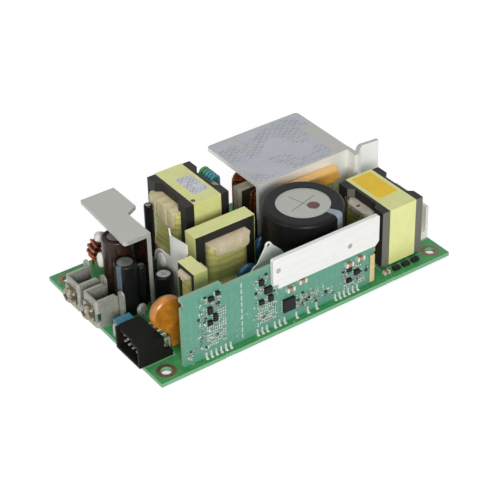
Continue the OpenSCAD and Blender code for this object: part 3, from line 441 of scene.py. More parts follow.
# %% [markdown]
# ## Moulded plastics
# Nylon, epoxy and phenolic resin come from moulds and share a soft sheen;
# they differ in how rough the mould was and in how the colour clouds. The
# main transformer's bobbin has upright ribs that lead its wires down. They
# could be solids, but they are shallow, so a wave lifts them as a bump, one
# for every 4.2 mm along the bobbin.

# %% Even ridges
def ridges(look, axis, pitch, height, wobble=0.0):
    """Adds a bump of even ridges: one wave for every pitch millimetres."""
    waves = add(look["tree"], "TexWave", {
        "Vector": look["spot"], "Scale": WAVE / pitch, "Distortion": wobble, "Detail": 2.0},
        bands_direction=axis).outputs["Fac"]
    rise = add(look["tree"], "Bump", {
        "Height": waves, "Distance": height * MM, "Strength": 0.6, "Normal": look["height"]})
    look["tree"].links.new(rise.outputs[0], look["shader"].inputs["Normal"])
    return waves


# Phenolic resin clouds softly, and its batches differ a little in colour.
beige, resin, grey_resin = (
    finish(name, light, dark, grain=2.5, rough=(0.42, 0.6), ior=1.55) for name, light, dark in (
        ("moulded_beige_phenolic", "#e4d7ad", "#cfc092"),
        ("moulded_light_phenolic", "#eadabc", "#d8c6a4"),
        ("moulded_grey_phenolic", "#e2dccb", "#cbc3b0")))
ridges(beige, "Y", pitch=4.2, height=0.2)
dress(beige, "main_transformer_bobbin")
dress(resin, "standby_transformer_bobbin", "drive_transformer_bobbin")
dress(grey_resin, "boost_choke_bobbin")

# %% Black, white and blue mouldings
# Package epoxy is filled with sand-fine glass and stays matt.
dress(finish("moulded_black_epoxy", "#232325", "#161618", grain=0.25, rough=(0.5, 0.66),
             bump=0.012, ior=1.55, shine=0.15),
      "surface_mount_chips", "output_rectifier", "power_transistors")
# Black nylon swallows light; natural nylon lets a little through.
dress(finish("moulded_black_nylon", "#1e1e1b", "#141412", grain=0.6, rough=(0.5, 0.62),
             bump=0.01, ior=1.53, shine=0.06), "signal_header")
dress(finish("moulded_natural_nylon", "#e9e7e0", "#d9d6cc", grain=1.4, rough=(0.35, 0.5),
             bump=0.01, ior=1.53), "input_connector")
# The trimmer's box and end plate are hard and lightly glossy.
for name, light, dark, node in (
    ("moulded_blue_thermoset", "#4a86a0", "#386e88", "trimmer"),
    ("moulded_white_thermoset", "#d9dedd", "#bcc4c4", "trimmer_screw"),
):
    dress(finish(name, light, dark, grain=0.7, rough=(0.35, 0.5), bump=0.01), node)

# %% Seat, fuse and yellow box
# The choke's seat is soft cream plastic with a slightly greasy sheen.
dress(finish("moulded_cream_plastic", "#c9c2aa", "#aca58e", grain=1.8, rough=(0.4, 0.55)),
      "line_choke_base")
# The fuse's round case is dark and a little glossy.
dress(finish("moulded_round_fuse_case", "#272624", "#191817", grain=0.6, rough=(0.4, 0.55),
             bump=0.01, shine=0.3), "fuse")
# The mains capacitor is a yellow box filled with resin.
dress(finish("resin_filled_yellow_box", "#cbb556", "#ae963e", grain=1.5, rough=(0.35, 0.5),
             bump=0.01), "x_capacitor")

# %% [markdown]
# ## Dipped coatings
# Disc capacitors are dipped in liquid epoxy, which cures glossy with slow
# waves in its skin and clouds of colour where it ran thin. A coat could give
# the gloss alone, but the waves are what the eye knows it by, so the grain
# is coarse and the bump high.

# %% Dipped epoxy
dress(finish("dipped_orange_epoxy", "#c98227", "#985b10", grain=3.4, rough=(0.2, 0.34),
             bump=0.05, ior=1.56, coat=0.1), "coated_disc")
dress(finish("dipped_grey_epoxy", "#a9aaa5", "#868782", grain=1.6, rough=(0.25, 0.4),
             bump=0.03, ior=1.56), "ceramic_disc")
dress(finish("dipped_blue_epoxy", "#3a7ca4", "#1f5474", grain=1.8, rough=(0.18, 0.32),
             bump=0.04, ior=1.56, coat=0.2), "y_capacitors")
maroon_dip = finish("dipped_maroon_epoxy", "#5c2024", "#3a1216", grain=1.8, rough=(0.18, 0.32),
                    bump=0.04, ior=1.56)

# %% [markdown]
# ## Ceramics
# Ferrite is pressed and fired, and looks like dark stone with a fine
# sparkle. Where its faces are ground to fit, they turn grey. The grey could
# be a second material on those faces, but the core is one mesh, so the
# direction a face looks in picks it. Chips are small fired bodies too.

# %% Ferrite
ferrite, half_ground = (
    finish(name, "#343230", "#232120", grain=0.35, rough=(0.42, 0.62), shine=0.18)
    for name in ("ground_ferrite", "half_ground_ferrite"))
over(half_ground, facing(half_ground, 1, 0.7, "GREATER_THAN"), "#6f6c64")
dress(ferrite, "main_transformer_core", "standby_transformer_core", "drive_transformer_core")
dress(half_ground, "boost_choke_core")
# Ring cores are dipped in dark paint, which rounds their edges.
dress(finish("coated_ring_core", "#2c2a24", "#1b1a16", grain=0.7, rough=(0.5, 0.65),
             shine=0.3), "toroid_cores")

# %% Chips
# Fired ceramic is even and matt.
dress(finish("fired_tan_ceramic", "#a98a68", "#8b6d4c", grain=0.8, rough=(0.4, 0.55),
             bump=0.01, ior=1.6), "surface_mount_capacitors")
# A grain as wide as a chip makes some chips pale and others dark.
pale_chip = finish("fired_chip_bodies", "#c4c4bc", "#3a3a3a", grain=1.7, rough=(0.45, 0.6),
                   bump=0.01, ior=1.6)
dress(pale_chip, "surface_mount_resistors")
# Chips of dark glass and resin swallow light.
dark_chip = finish("fired_dark_chip_bodies", "#26262a", "#141418", grain=0.5, rough=(0.45, 0.6),
                   bump=0.01, shine=0.3)

# %% [markdown]
# ## Tape and windings
# Polyester tape is a thin glossy film. Over a winding it lies in many
# layers, whose edges show as level wrinkles. Each layer could be a solid of
# its own, but it is only a few hundredths of a millimetre thick, so wobbly
# bands across Z draw the layers, and a darker olive along the wrinkles is
# painted shade.

# %% Polyester tape
WOUND_PARTS = ("main_transformer", "standby_transformer", "drive_transformer", "boost_choke")
dress(finish("yellow_polyester_tape", "#e4e69a", "#d9db8c", grain=5.0, rough=(0.26, 0.4),
             bump=0.03, ior=1.6, coat=0.1), *(part + "_tape" for part in WOUND_PARTS))
wound = finish("taped_copper_winding", "#e2de8a", "#c9c474", grain=3.0, rough=(0.26, 0.4),
               bump=0.05, ior=1.6, stretch=(1, 1, 2.4), coat=0.1)
layers = ridges(wound, "Z", pitch=2.6, height=0.15, wobble=3.5)
# painted shade: a darker olive laid along each wrinkle of the tape
shade = add(wound["tree"], "MapRange", {"Value": layers, "From Min": 0.6, "To Max": 0.35})
over(wound, shade, "#98914a")
dress(wound, *(part + "_winding" for part in WOUND_PARTS))

# %% [markdown]
# ## Capacitor sleeves
# The sleeves are shrunk plastic film, glossy and dark, with a pale stripe
# that marks the negative side. The stripe could be a piece of its own bent
# round the can, but it is only ink, so it is part of the finish: it is where
# the direction from the can's axis lies within a few degrees of the
# stripe's, which a dot product tells.

# %% A stripe down a can
SLEEVE_ROOM = 0.3  # mm past the sleeve that still belong to this can


def stripe(look, low, high, angle, spread, colour):
    """A stripe down a can: 1 where the unit vector from the axis, dotted with
    the stripe's direction, is more than the cosine of half its spread."""
    tree = look["tree"]
    centre = tuple((low + high) / 2 * MM)
    a, edge = math.radians(angle), math.cos(math.radians(spread / 2))
    off = add(tree, "VectorMath", {0: look["spot"], 1: centre}, operation="SUBTRACT")
    level = add(tree, "VectorMath", {0: off, 1: (1, 1, 0)}, operation="MULTIPLY")
    unit = add(tree, "VectorMath", {0: level}, operation="NORMALIZE")
    dot = add(tree, "VectorMath", {0: unit, 1: (math.cos(a), math.sin(a), 0)}, operation="DOT_PRODUCT")
    near = add(tree, "Math", {0: dot.outputs["Value"], 1: edge}, operation="GREATER_THAN")
    size = add(tree, "VectorMath", {0: level}, operation="LENGTH")
    reach = ((high[0] - low[0]) / 2 + SLEEVE_ROOM) * MM
    inside = add(tree, "Math", {0: size.outputs["Value"], 1: reach}, operation="LESS_THAN")
    mask = add(tree, "Math", {0: near, 1: inside}, operation="MULTIPLY")
    over(look, mask, colour)


print("small cans:", len(solids("small_capacitor_sleeves")[0]))

# %% Sleeves
bulk_black = finish("shrunk_black_sleeve_bulk", "#191919", "#111111", grain=2.0, rough=(0.26, 0.42),
                    ior=1.54, shine=0.12)
stripe(bulk_black, *box("bulk_capacitor_sleeve"), angle=-66, spread=14, colour="#98a2ae")
sleeve_black = finish("shrunk_black_sleeve", "#1b1b1c", "#111112", grain=2.0, rough=(0.24, 0.4),
                      ior=1.54, shine=0.16)
# Of the small cans, only the one farthest to the left turns its stripe out.
small_low, small_high = solids("small_capacitor_sleeves")
leftmost = small_low[:, 0].argmin()
stripe(sleeve_black, small_low[leftmost], small_high[leftmost], angle=203, spread=30, colour="#57636f")
dress(finish("shrunk_brown_sleeve", "#3a241d", "#22140f", grain=2.0, rough=(0.22, 0.36),
             ior=1.54, shine=0.25), "output_capacitor_sleeve")
dress(bulk_black, "bulk_capacitor_sleeve")
dress(sleeve_black, "small_capacitor_sleeves")

# %% [markdown]
# ## Sheets and the film capacitor
# Insulating sheet is a hard white paper. The sleeves over the transformer's
# wires are blue in front and green behind, and the orange film capacitor is
# paler along its top and darker olive on its lower part, which is painted
# shade. Such a change of colour along one solid could be painted, but it is
# straight, so a plane across an axis splits it.

# %% One side of a plane
def beyond(look, axis, place, operation="GREATER_THAN"):
    """1 on the far side of a plane across an axis, at a place in millimetres."""
    split = add(look["tree"], "SeparateXYZ", {0: look["spot"]})
    return add(look["tree"], "Math", {0: split.outputs[axis], 1: place * MM}, operation=operation)


GREEN_PART, RIM, FOOT = 3.4, 0.9, 4.8  # from the back, and twice down from the top
# Sleeving is rubbery, with a soft sheen.
wire_sleeve = finish("silicone_sleeving", "#4a93a2", "#2a6f7e", grain=1.2, rough=(0.35, 0.5))
over(wire_sleeve, beyond(wire_sleeve, 1, box("lead_sleeves")[1][1] - GREEN_PART), "#3f8456")
# Pressed paper is dry and scatters light evenly.
dress(finish("stamped_insulating_paper", "#f6f5f1", "#ecebe5", grain=1.2, rough=(0.6, 0.75)),
      "insulating_sheet", "corner_sheet")
orange_case = finish("moulded_orange_case", "#e2a650", "#d49a42", grain=2.5, rough=(0.28, 0.42), bump=0.01)
case_top = box("film_capacitor")[1][2]
# painted shade: the lower part of the case turns darker olive
over(orange_case, beyond(orange_case, 2, case_top - FOOT, "LESS_THAN"), "#8f8748")
# a paler band along the top of the case
over(orange_case, beyond(orange_case, 2, case_top - RIM), "#efc070")
dress(wire_sleeve, "lead_sleeves")
dress(orange_case, "film_capacitor")

# %% [markdown]
# ## Labels
# Label stock is smooth and slightly blue. It keeps only plain bars, which
# say nothing. They could be hundreds of thin pieces, but they have no
# height, so a pattern of flat bricks gives rows of broken bars, and a coarse
# noise leaves parts of the label empty.

# %% Plain labels
def label_finish(name, light, dark, bar, length, pitch, cloud, cover, ink):
    """Bars so long at such a pitch; they show where noise with clouds of so
    many millimetres is over the cover, and as strongly as the ink."""
    look = finish(name, light, dark, grain=6.0, rough=(0.36, 0.5), bump=0.003, shine=0.3)
    tree = look["tree"]
    rows = add(tree, "TexBrick", {
        "Vector": look["spot"], "Scale": 1000.0, "Brick Width": length, "Row Height": pitch,
        "Mortar Size": pitch * 0.3, "Mortar Smooth": 0.1, "Bias": 0.0,
        "Color1": WHITE, "Color2": (0.3, 0.3, 0.3, 1), "Mortar": (0, 0, 0, 1)})
    clouds = add(tree, "TexNoise", {"Vector": look["spot"], "Scale": 1000 / cloud, "Detail": 0.0})
    some = add(tree, "Math", {0: clouds.outputs["Fac"], 1: cover}, operation="GREATER_THAN")
    mask = add(tree, "Math", {0: rows.outputs["Color"], 1: some}, operation="MULTIPLY")
    soft = add(tree, "Math", {0: mask, 1: ink}, operation="MULTIPLY")
    over(look, soft, bar)
    return look


dress(finish("plain_amber_label", "#f4ca1e", "#e8bd16", grain=4.0, rough=(0.35, 0.5),
             bump=0.004), "boost_choke_label")
dress(label_finish("plain_label_with_bars", "#c6c8d0", "#bbbdc6", "#50505a", length=3.1, pitch=1.25,
                   cloud=100 / 9, cover=0.5, ink=0.6), "heatsink_labels")
dress(label_finish("small_label_with_bars", "#dcdce4", "#d0d0da", "#2c2c34", length=1.9, pitch=0.95,
                   cloud=5.0, cover=0.4, ink=0.85), "main_transformer_label")

# %% [markdown]
# ## Plated rings at the mounting holes
# Each mounting hole has a ring of bare plating on both sides of the board,
# where the screw bears. It could be a colour on the board, but it stands a
# little proud of the mask, so it is a flat profile carried round the hole,
# like clay on a wheel. Solder and silk circles are turned in the same way.

# %% Turned shapes, and several shapes as one
def turned(profile, centre, steps):
    """Each profile point (r, z) goes round the axis: x = r cos a, y = r sin a."""
    r, z = np.asarray(profile, float).T
    a = np.linspace(0, 2 * np.pi, steps, endpoint=False)
    points = [np.outer(r, np.cos(a)), np.outer(r, np.sin(a)), np.outer(z, np.ones(steps))]
    return np.stack(points, -1).reshape(-1, 3) + np.asarray(centre, float), grid_faces(len(r), steps)


def flat_ring(inner, outer, thick, centre, steps):
    """A ring with a rectangle for its profile: r from inner to outer, z from
    0 to its thickness."""
    profile = [(inner, 0), (outer, 0), (outer, thick), (inner, thick), (inner, 0)]
    return turned(profile, centre, steps)


def together(*shapes):
    """Several shapes as one: their points are stacked and faces renumbered."""
    points, faces, start = [], [], 0
    for p, f in shapes:
        points.append(p)
        faces.extend((np.asarray(f) + start).tolist())
        start += len(p)
    return np.concatenate(points), faces


# %% Mounting rings
HOLE_INSET = 5.08
RING_INNER, RING_OUTER, RING_THICK = 2.05, 3.6, 0.05
ring_plating = finish("bare_plated_copper_ring", "#8d7b5e", "#5f4f3c", grain=0.8, rough=(0.35, 0.5),
                      bump=0.01, metallic=0.7)
rings = [flat_ring(RING_INNER, RING_OUTER, RING_THICK, (x, y, z), 32)
         for x in (board_low[0] + HOLE_INSET, board_high[0] - HOLE_INSET)
         for y in (board_low[1] + HOLE_INSET, board_high[1] - HOLE_INSET)
         for z in (top, board_low[2] - RING_THICK)]
piece("mounting_rings", together(*rings), ring_plating, smooth=False)

# %% [markdown]
# ## Solder on the upper side
# Where a bent pin meets the board, solder climbs it in a small hollow cone.
# The cones could be copied round by hand, but every pin is a solid of its
# own, so its box says where its cone goes. They are tiny and many, so ten
# steps round are enough.

# %% Solder cones
CONE = [(0.0, 0.62), (0.24, 0.5), (0.36, 0.26), (0.56, 0.08), (0.72, 0.0), (0.0, 0.0)]
CONE_STEPS = 10
PIN_FOOT, TAIL_FOOT = 0.45, 0.32  # from the end of a pin to the middle of its foot
pin_low, pin_high = solids("control_board_pins")
tail_low, tail_high = solids("signal_header_pins")
cones = [turned(CONE, ((a[0] + b[0]) / 2, a[1] + PIN_FOOT, top), CONE_STEPS)
         for a, b in zip(pin_low, pin_high)]
cones += [turned(CONE, (b[0] - TAIL_FOOT, (a[1] + b[1]) / 2, top), CONE_STEPS)
          for a, b in zip(tail_low, tail_high)]
piece("upper_solder", together(*cones), chip_ends)

# %% [markdown]
# ## Chip ends
# Every chip resistor and capacitor has a tinned cap at each end, a little
# prouder than the ceramic between. The caps could be a colour at the ends,
# but their step catches the light, so they are real boxes, and hundreds of
# boxes are quickest as one array.

# %% Many boxes, and the chip ends
def boxes(low, high):
    """Many boxes at once, from arrays of their lowest and highest corners."""
    low, high = np.atleast_2d(low).astype(float), np.atleast_2d(high).astype(float)
    pick = np.array([[x, y, z] for x in (0, 1) for y in (0, 1) for z in (0, 1)])
    points = np.where(pick[None] == 1, high[:, None], low[:, None])
    six = [[0, 1, 3, 2], [4, 6, 7, 5], [0, 4, 5, 1], [2, 3, 7, 6], [0, 2, 6, 4], [1, 5, 7, 3]]
    faces = np.array(six)[None] + 8 * np.arange(len(low))[:, None, None]
    return points.reshape(-1, 3), faces.reshape(-1, 4)


CAP_SHARE, PROUD = 0.24, 0.03
chip_low, chip_high = solids("surface_mount_resistors")
cap_low, cap_high = solids("surface_mount_capacitors")
ends_low, ends_high = [], []
for low, high in zip(np.concatenate([chip_low, cap_low]), np.concatenate([chip_high, cap_high])):
    cap = CAP_SHARE * (high[0] - low[0])
    for start in (low[0] - PROUD, high[0] + PROUD - cap):
        ends_low.append([start, low[1] - PROUD, low[2] - PROUD])
        ends_high.append([start + cap, high[1], high[2] + PROUD])
piece("chip_end_caps", boxes(ends_low, ends_high), chip_ends, smooth=False)

# %% [markdown]
# ## Legs of the black chips
# The control board's black chips stand on short tinned legs at their left
# and right sides. Real legs bend twice, but at this size only their flat
# feet show, so a leg is a small box against the board, and each side gets
# as many as fit at a 1 mm pitch, but at least two.

# %% Chip legs
LEG_PITCH, LEG_WIDE, LEG_OUT, LEG_THICK = 1.0, 0.42, 0.5, 0.25
control_low, control_high = box("control_board")
face_y = control_low[1]
black_low, black_high = solids("surface_mount_chips")
legs_low, legs_high = [], []
for low, high in zip(black_low, black_high):
    on_main_board = low[2] < top + 1.5 or high[1] > face_y + 0.2
    if on_main_board:
        continue
    count = max(2, round((high[2] - low[2]) / LEG_PITCH))
    for z in low[2] + (np.arange(count) + 0.5) * (high[2] - low[2]) / count:
        for x in (low[0] - LEG_OUT, high[0]):
            legs_low.append([x, face_y - LEG_THICK, z - LEG_WIDE / 2])
            legs_high.append([x + LEG_OUT, face_y, z + LEG_WIDE / 2])
piece("chip_legs", boxes(legs_low, legs_high), chip_ends, smooth=False)

# %% [markdown]
# ## Parts strewn over the control board
# The crowded patches of the board also carry parts too small to be solids of
# their own. They could be typed in one by one, but only their crowd is seen,
# so a draw with a fixed seed places them, and any part that would touch a
# solid is dropped.

# %% A seeded draw of small boxes
ROOM = 0.15  # mm kept free round the solids
taken_low = np.concatenate([chip_low, cap_low, black_low, pin_low])
taken_high = np.concatenate([chip_high, cap_high, black_high, pin_high])
rng = np.random.default_rng(7)


def strewn(count, x_range, z_range, sizes, deep):
    """Boxes at even random places on the board's face, less those that come
    too near to a part that is already there."""
    low = [rng.uniform(*x_range, count), np.full(count, face_y - deep), rng.uniform(*z_range, count)]
    low = np.stack(low, -1)
    size = [rng.uniform(*sizes, count), np.full(count, deep), rng.uniform(*sizes, count)]
    high = low + np.stack(size, -1)
    touch = (low[:, None] - ROOM < taken_high[None]) & (high[:, None] + ROOM > taken_low[None])
    free = ~touch[:, :, [0, 2]].all(-1).any(-1)
    return low[free], high[free]


print("solids to keep clear of:", len(taken_low))

# %% Strewn parts
PATCHES = (  # x from and to, from the left end; z from and to; how many parts
    (6, 15.5, 3, 25, 60), (29, 38.5, 3, 24, 50), (47, 56.5, 2.8, 8, 26), (58, 63, 2.8, 6, 6),
    (67.5, 76, 4, 11, 26), (38, 80, 3, 9, 16), (1.2, 4, 1.5, 5.5, 7),
)
KINDS = (  # name, finish, slot, sizes, thickness, share of a patch's number
    ("strewn_dark_chips", dark_chip, "chip_epoxy", (0.5, 1.1), 0.4, 0.2),
    ("strewn_pale_chips", pale_chip, "chip_resistor", (0.4, 1.0), 0.35, 1.3),
    ("strewn_solder_dots", chip_ends, "tinned", (0.3, 0.6), 0.12, 1.2),
)
left = control_low[0]
for name, look, slot, sizes, deep, share in KINDS:
    sets = [strewn(round(parts * share), (left + x0, left + x1), (top + z0, top + z1), sizes, deep)
            for x0, x1, z0, z1, parts in PATCHES]
    lows, highs = (np.concatenate(corner) for corner in zip(*sets))
    piece(name, boxes(lows, highs), look, smooth=False)

# %% [markdown]
# ## Silk print
# Thin white ink outlines the parts. It could be part of the board's finish,
# but its lines follow the parts, so they are made from the parts' boxes.
# Only plain lines are drawn, never letters: very thin boxes, and turned
# rings round the cans.

# %% Silk print
LINE, INK = 0.22, 0.02  # width and thickness
GAP, ROUND_GAP, EDGE = 0.6, 0.5, 0.3  # round boxes, round cans, and to the board's edge
DASH_FROM, DASH_EVERY, DASH_LONG, DASH_WIDE = 4, 3.2, 2.0, 0.3
SPLIT = 3.2  # from the insulating sheet to the dashed line
ink = finish("white_silk_ink", "#c9d2c4", "#aab5a6", grain=0.6, rough=(0.5, 0.65), bump=0.004)


def frame_lines(low, high):
    """Four lines round a rectangle on the board's upper face, held inside
    the board's own edges."""
    x0, y0 = np.maximum(low[:2] - GAP, board_low[:2] + EDGE)
    x1, y1 = np.minimum(high[:2] + GAP, board_high[:2] - EDGE)
    tall = top + INK
    return ([[x0, y0, top], [x0, y1 - LINE, top], [x0, y0, top], [x1 - LINE, y0, top]],
            [[x1, y0 + LINE, tall], [x1, y1, tall], [x0 + LINE, y1, tall], [x1, y1, tall]])


silk_low, silk_high = [], []
for node in ("main_transformer_core", "boost_choke_core", "standby_transformer_core",
             "drive_transformer_core", "signal_header", "x_capacitor", "input_connector",
             "rear_output_terminal", "front_output_terminal"):
    low, high = frame_lines(*box(node))
    silk_low += low
    silk_high += high
# A dashed line parts the output side from the mains side.
split_x = box("insulating_sheet")[0][0] + SPLIT
dashes = np.arange(board_low[1] + DASH_FROM, board_high[1] - DASH_FROM, DASH_EVERY)
silk_low += [[split_x, y, top] for y in dashes]
silk_high += [[split_x + DASH_WIDE, y + DASH_LONG, top + INK] for y in dashes]
circles = []
for node in ("bulk_capacitor_sleeve", "output_capacitor_sleeve", "fuse"):
    low, high = box(node)
    r = (high[0] - low[0]) / 2 + ROUND_GAP
    middle_xy = ((low[0] + high[0]) / 2, (low[1] + high[1]) / 2, top)
    circles.append(flat_ring(r, r + LINE, INK, middle_xy, 48))
piece("silk_print", together(boxes(silk_low, silk_high), *circles), ink, smooth=False)

# %% [markdown]
# ## Dashed line on the control board
# An upright row of printed dashes crosses the control board near its raised
# end. One long box cut by a modifier would do, but evenly spaced numbers
# give a row of thin boxes at once, in the same ink as the silk print.

# %% Dashes
DASH_SIZE = [0.5, INK, 1.9]
DASH_PITCH, ROW_AT, ROW_FROM, ROW_TO = 2.7, 23.9, 1.2, 25
dash_z = np.arange(top + ROW_FROM, top + ROW_TO, DASH_PITCH)
dash_x = np.full(len(dash_z), left + ROW_AT)
dash_low = np.stack([dash_x, np.full(len(dash_z), face_y - INK), dash_z], -1)
piece("control_board_dashes", boxes(dash_low, dash_low + DASH_SIZE), ink, smooth=False)

# %% [markdown]
# ## Painted shade on the output heatsink
# The output heatsink's wall lies in shade on the side of the capacitors and
# mirrors the brown can, so a thin dark brown sheet paints that shade and
# reflection on it. It could be a colour on that face, but its edge stands free
# of it, so it is a thin box. Its place comes from the solid itself: the wall
# stands on the board, so its corners are the lowest of all.

# %% Painted shade on the wall
FILM, FILM_EDGE, FILM_LIFT, SHEET = 0.12, 0.2, 0.1, 1.6
# painted shade and reflection: a dark brown sheet on the wall's face towards the capacitors
shade_sheet = finish("dark_sheet_painted_shade", "#2a1712", "#180d0a", grain=3.0, rough=(0.2, 0.34),
                    bump=0.01, ior=1.6)
wall = corners("output_heatsink")
wall = wall[wall[:, 2] < top + 0.5]
under_shelf = box("output_heatsink")[1][2] - SHEET
film_low = [wall[:, 0].min() - FILM, wall[:, 1].min() + FILM_EDGE, top + FILM_LIFT]
film_high = [wall[:, 0].min(), wall[:, 1].max() - FILM_EDGE, under_shelf]
piece("wall_painted_shade_sheet", boxes(film_low, film_high), shade_sheet, smooth=False)

# %% [markdown]
# ## Glue
# Tall parts are held by white silicone, laid on as soft blobs between them.
# A blob could be sculpted, but an egg whose radius varies slowly is just as
# soft, and with other waves and another phase no two of them look alike.

# %% Silicone blobs
def skin(shape, centre, size, rows, cols):
    """A closed skin: the shape gives x, y and z for the angle b from pole to
    pole and the angle a round; they are stretched to a size and moved."""
    b, a = np.meshgrid(np.linspace(0, np.pi, rows), np.linspace(0, 2 * np.pi, cols, endpoint=False),
                       indexing="ij")
    points = np.stack(shape(b, a), -1) * np.asarray(size, float)
    return points.reshape(-1, 3) + np.asarray(centre, float), grid_faces(rows, cols)


def blob(centre, size, wave, phase):
    """An egg with slow waves in its skin: a ball whose radius is
    1 + wave sin(3 a + phase) sin(2 b) sin(b)."""
    def egg(b, a):
        r = 1 + wave * np.sin(3 * a + phase) * np.sin(2 * b) * np.sin(b)
        return r * np.sin(b) * np.cos(a), r * np.sin(b) * np.sin(a), r * np.cos(b)
    return skin(egg, centre, size, 12, 20)


silicone = finish("white_silicone_glue", "#e4e2dc", "#cfccc5", grain=1.5, rough=(0.4, 0.55),
                  bump=0.05, ior=1.42)
can_x, can_y = (sum(box("output_capacitor_sleeve")) / 2)[:2]
for name, spot, size, wave, phase in (
    ("glue_by_output_capacitor", (can_x - 4.6, can_y + 3.6, top + 15.5), (1.5, 1.6, 3.2), 0.14, 0.6),
    ("glue_on_the_sheet", (-33.4, 7.3, top + 12.4), (1.0, 2.5, 2.9), 0.08, 1.2),
    ("glue_behind_output_capacitor", (can_x - 2.4, can_y + 7.2, top + 22.5), (2.2, 2.0, 1.9), 0.1, 2.1),
):
    piece(name, blob(spot, size, wave, phase), silicone)

# %% [markdown]
# ## Maroon film capacitor
# A small dipped film capacitor stands behind the insulating sheet. A cube
# with a subdivision modifier would come out too round, so it is a slab with
# a superellipse for its outline, thinned towards its rim. Its two leads are
# a circle carried along a path down to the board.

# %% A dipped slab
def slab(b, a):
    """Superellipse rings |x|^4 + |z|^4 = 1 that shrink towards both faces, y,
    as sin(b)^0.4 while the thickness follows cos(b)."""
    grow = np.sin(b) ** 0.4
    c, s = np.cos(a), np.sin(a)
    r = (c**4 + s**4) ** -0.25
    return grow * r * c, np.cos(b), grow * r * s


sheet_low, sheet_high = box("insulating_sheet")
slab_place = np.array([sheet_low[0] - 3.6, sheet_high[1] + 2.0, top + 8.2])
piece("maroon_film_capacitor", skin(slab, slab_place, (3.1, 1.4, 4.2), 13, 28), maroon_dip)

# %% Wires, and the capacitor's leads
WIRE_R, WIRE_SIDES = 0.3, 8
ASIDE = [0.31, 0.17, 0.94]  # a direction that no wire here follows


def swept(path):
    """A circle carried along a path: at each point the circle lies in the
    plane across the path, and the ends shrink to a point to close them."""
    path = np.asarray(path, float)
    along = np.gradient(path, axis=0)
    along /= np.linalg.norm(along, axis=1, keepdims=True)
    side = np.cross(along, ASIDE)
    side /= np.linalg.norm(side, axis=1, keepdims=True)
    over_it = np.cross(side, along)
    a = np.linspace(0, 2 * np.pi, WIRE_SIDES, endpoint=False)
    ring = np.cos(a)[None, :, None] * side[:, None] + np.sin(a)[None, :, None] * over_it[:, None]
    first, last = (np.repeat(end, WIRE_SIDES, 1) for end in (path[:1, None], path[-1:, None]))
    tube = np.concatenate([first, path[:, None] + WIRE_R * ring, last])
    return tube.reshape(-1, 3), grid_faces(len(tube), WIRE_SIDES)


x, y, z = slab_place
leads = [swept([[x + s, y, z - 3], [x + s, y, top + 2], [x + s, y, top]]) for s in (-1.6, 1.6)]
piece("maroon_capacitor_leads", together(*leads), tinned)

# %% [markdown]
# ## Bare wire links
# Where a track has to cross another, a short bare wire bridges it. It could
# be a Blender curve with a bevel, but the export wants meshes, so the same
# swept circle makes it. The wire is bent softly: a curve goes through the
# few points given, with its slopes taken from the neighbours.

# %% Wire links
def smooth_path(points, steps):
    """A curve through the given points: between two points each coordinate
    follows the cubic whose slopes come from the neighbours on either side."""
    p = np.asarray(points, float)
    p = np.concatenate([2 * p[:1] - p[1:2], p, 2 * p[-1:] - p[-2:-1]])
    t = np.linspace(0, 1, steps, endpoint=False)[:, None]
    a, b, c, d = p[:-3, None], p[1:-2, None], p[2:-1, None], p[3:, None]
    curve = 2 * b + (c - a) * t + (2 * a - 5 * b + 4 * c - d) * t**2 + (3 * b - a - 3 * c + d) * t**3
    return np.concatenate([(0.5 * curve).reshape(-1, 3), p[-2:-1]])


BEND, SHOULDER, LIFT = 0.5, 0.7, 1.0
LINKS = (  # x and y of the left foot, and the length
    (board_low[0] + 26.5, board_low[1] + 9.5, 7.5),
    (board_low[0] + 41, board_low[1] + 8.6, 10),
    (board_low[0] + 68, board_low[1] + 8.0, 6),
    (board_high[0] - 33, board_high[1] - 3.2, 9),
)
links = []
for x, y, span in LINKS:
    heights = [top, top + SHOULDER, top + LIFT, top + LIFT, top + SHOULDER, top]
    places = [x, x, x + BEND, x + span - BEND, x + span, x + span]
    links.append(swept(smooth_path([[px, y, pz] for px, pz in zip(places, heights)], 5)))
piece("bare_wire_links", together(*links), tinned)

# %% [markdown]
# ## A strip at the control board's right end
# A narrow tan strip stands before the board's end and keeps it off its
# neighbour. A box with bevelled edges would do, but the rounding is known,
# so it is a flat bar whose plan is the superellipse |x|^4 + |y|^4 = 1.

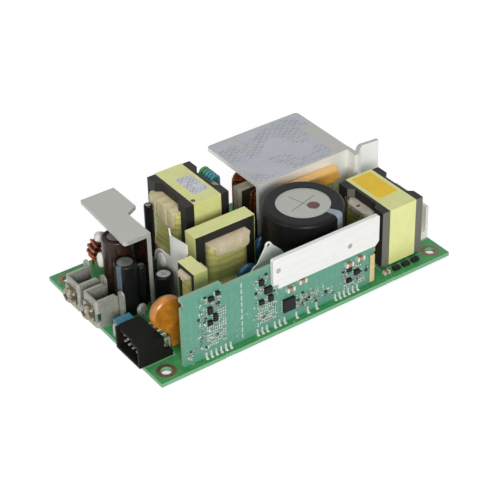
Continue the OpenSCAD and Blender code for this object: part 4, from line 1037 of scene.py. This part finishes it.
# %% Tan strip
def rounded_bar(low, high, cols):
    """An upright bar: the plan |x|^4 + |y|^4 = 1 at the foot and the top,
    closed by drawing both ends to the middle."""
    a = np.linspace(0, 2 * np.pi, cols, endpoint=False)
    c, s = np.cos(a), np.sin(a)
    plan = np.stack([c, s], -1) * ((c**4 + s**4) ** -0.25)[:, None]
    low, high = np.asarray(low, float), np.asarray(high, float)
    centre, half = (low + high)[:2] / 2, (high - low)[:2] / 2
    rings = [np.column_stack([centre + half * plan * grow, np.full(cols, z)])
             for grow, z in ((0, low[2]), (1, low[2]), (1, high[2]), (0, high[2]))]
    return np.concatenate(rings), grid_faces(4, cols)


tan_strip = finish("moulded_tan_strip", "#d8c892", "#bfae78", grain=1.2, rough=(0.45, 0.6))
strip_low = [control_high[0] - 2.0, face_y - 0.75, top + 0.8]
strip_high = [control_high[0] + 0.1, face_y - 0.02, top + 12.4]
piece("tan_end_strip", rounded_bar(strip_low, strip_high, 24), tan_strip, smooth=False)

# %% [markdown]
# ## Small marks
# The bulk capacitor's top carries a drop of brown varnish, and the main
# transformer's tape a smaller one. They could be spots of colour, but
# varnish stands up and shines, so they are turned from a low arc. The boost
# choke's flange has a dash of red marking paint.

# %% Drops of varnish and a dash of paint
def drop(r):
    """A low arc of radius r: the height falls as the square of the radius."""
    return [(0.0, 0.2), (0.35 * r, 0.19), (0.7 * r, 0.13), (0.92 * r, 0.06), (r, 0.0), (0.0, 0.0)]


varnish = finish("brown_varnish_drop", "#5e3428", "#45241b", grain=0.8, rough=(0.3, 0.45))
red_paint = finish("red_marking_paint", "#8c2a22", "#6e1e18", grain=0.8, rough=(0.35, 0.5))
can_low, can_high = box("bulk_capacitor_can")
can_middle = (can_low + can_high) / 2
tape_low, tape_high = box("main_transformer_tape")
piece("varnish_drops", together(
    turned(drop(2.3), (can_middle[0] + 2.2, can_middle[1] - 3.2, can_high[2]), 32),
    turned(drop(0.9), (tape_low[0] + 1.1, tape_low[1] + 2.4, tape_high[2]), 20)), varnish)
flange_low, flange_high = box("boost_choke_bobbin")
dash_place = (flange_low[0] + 1.8, flange_low[1] + 10.0, flange_high[2])
piece("red_dash", blob(dash_place, (1.0, 0.55, 0.06), 0.1, 0.4), red_paint)
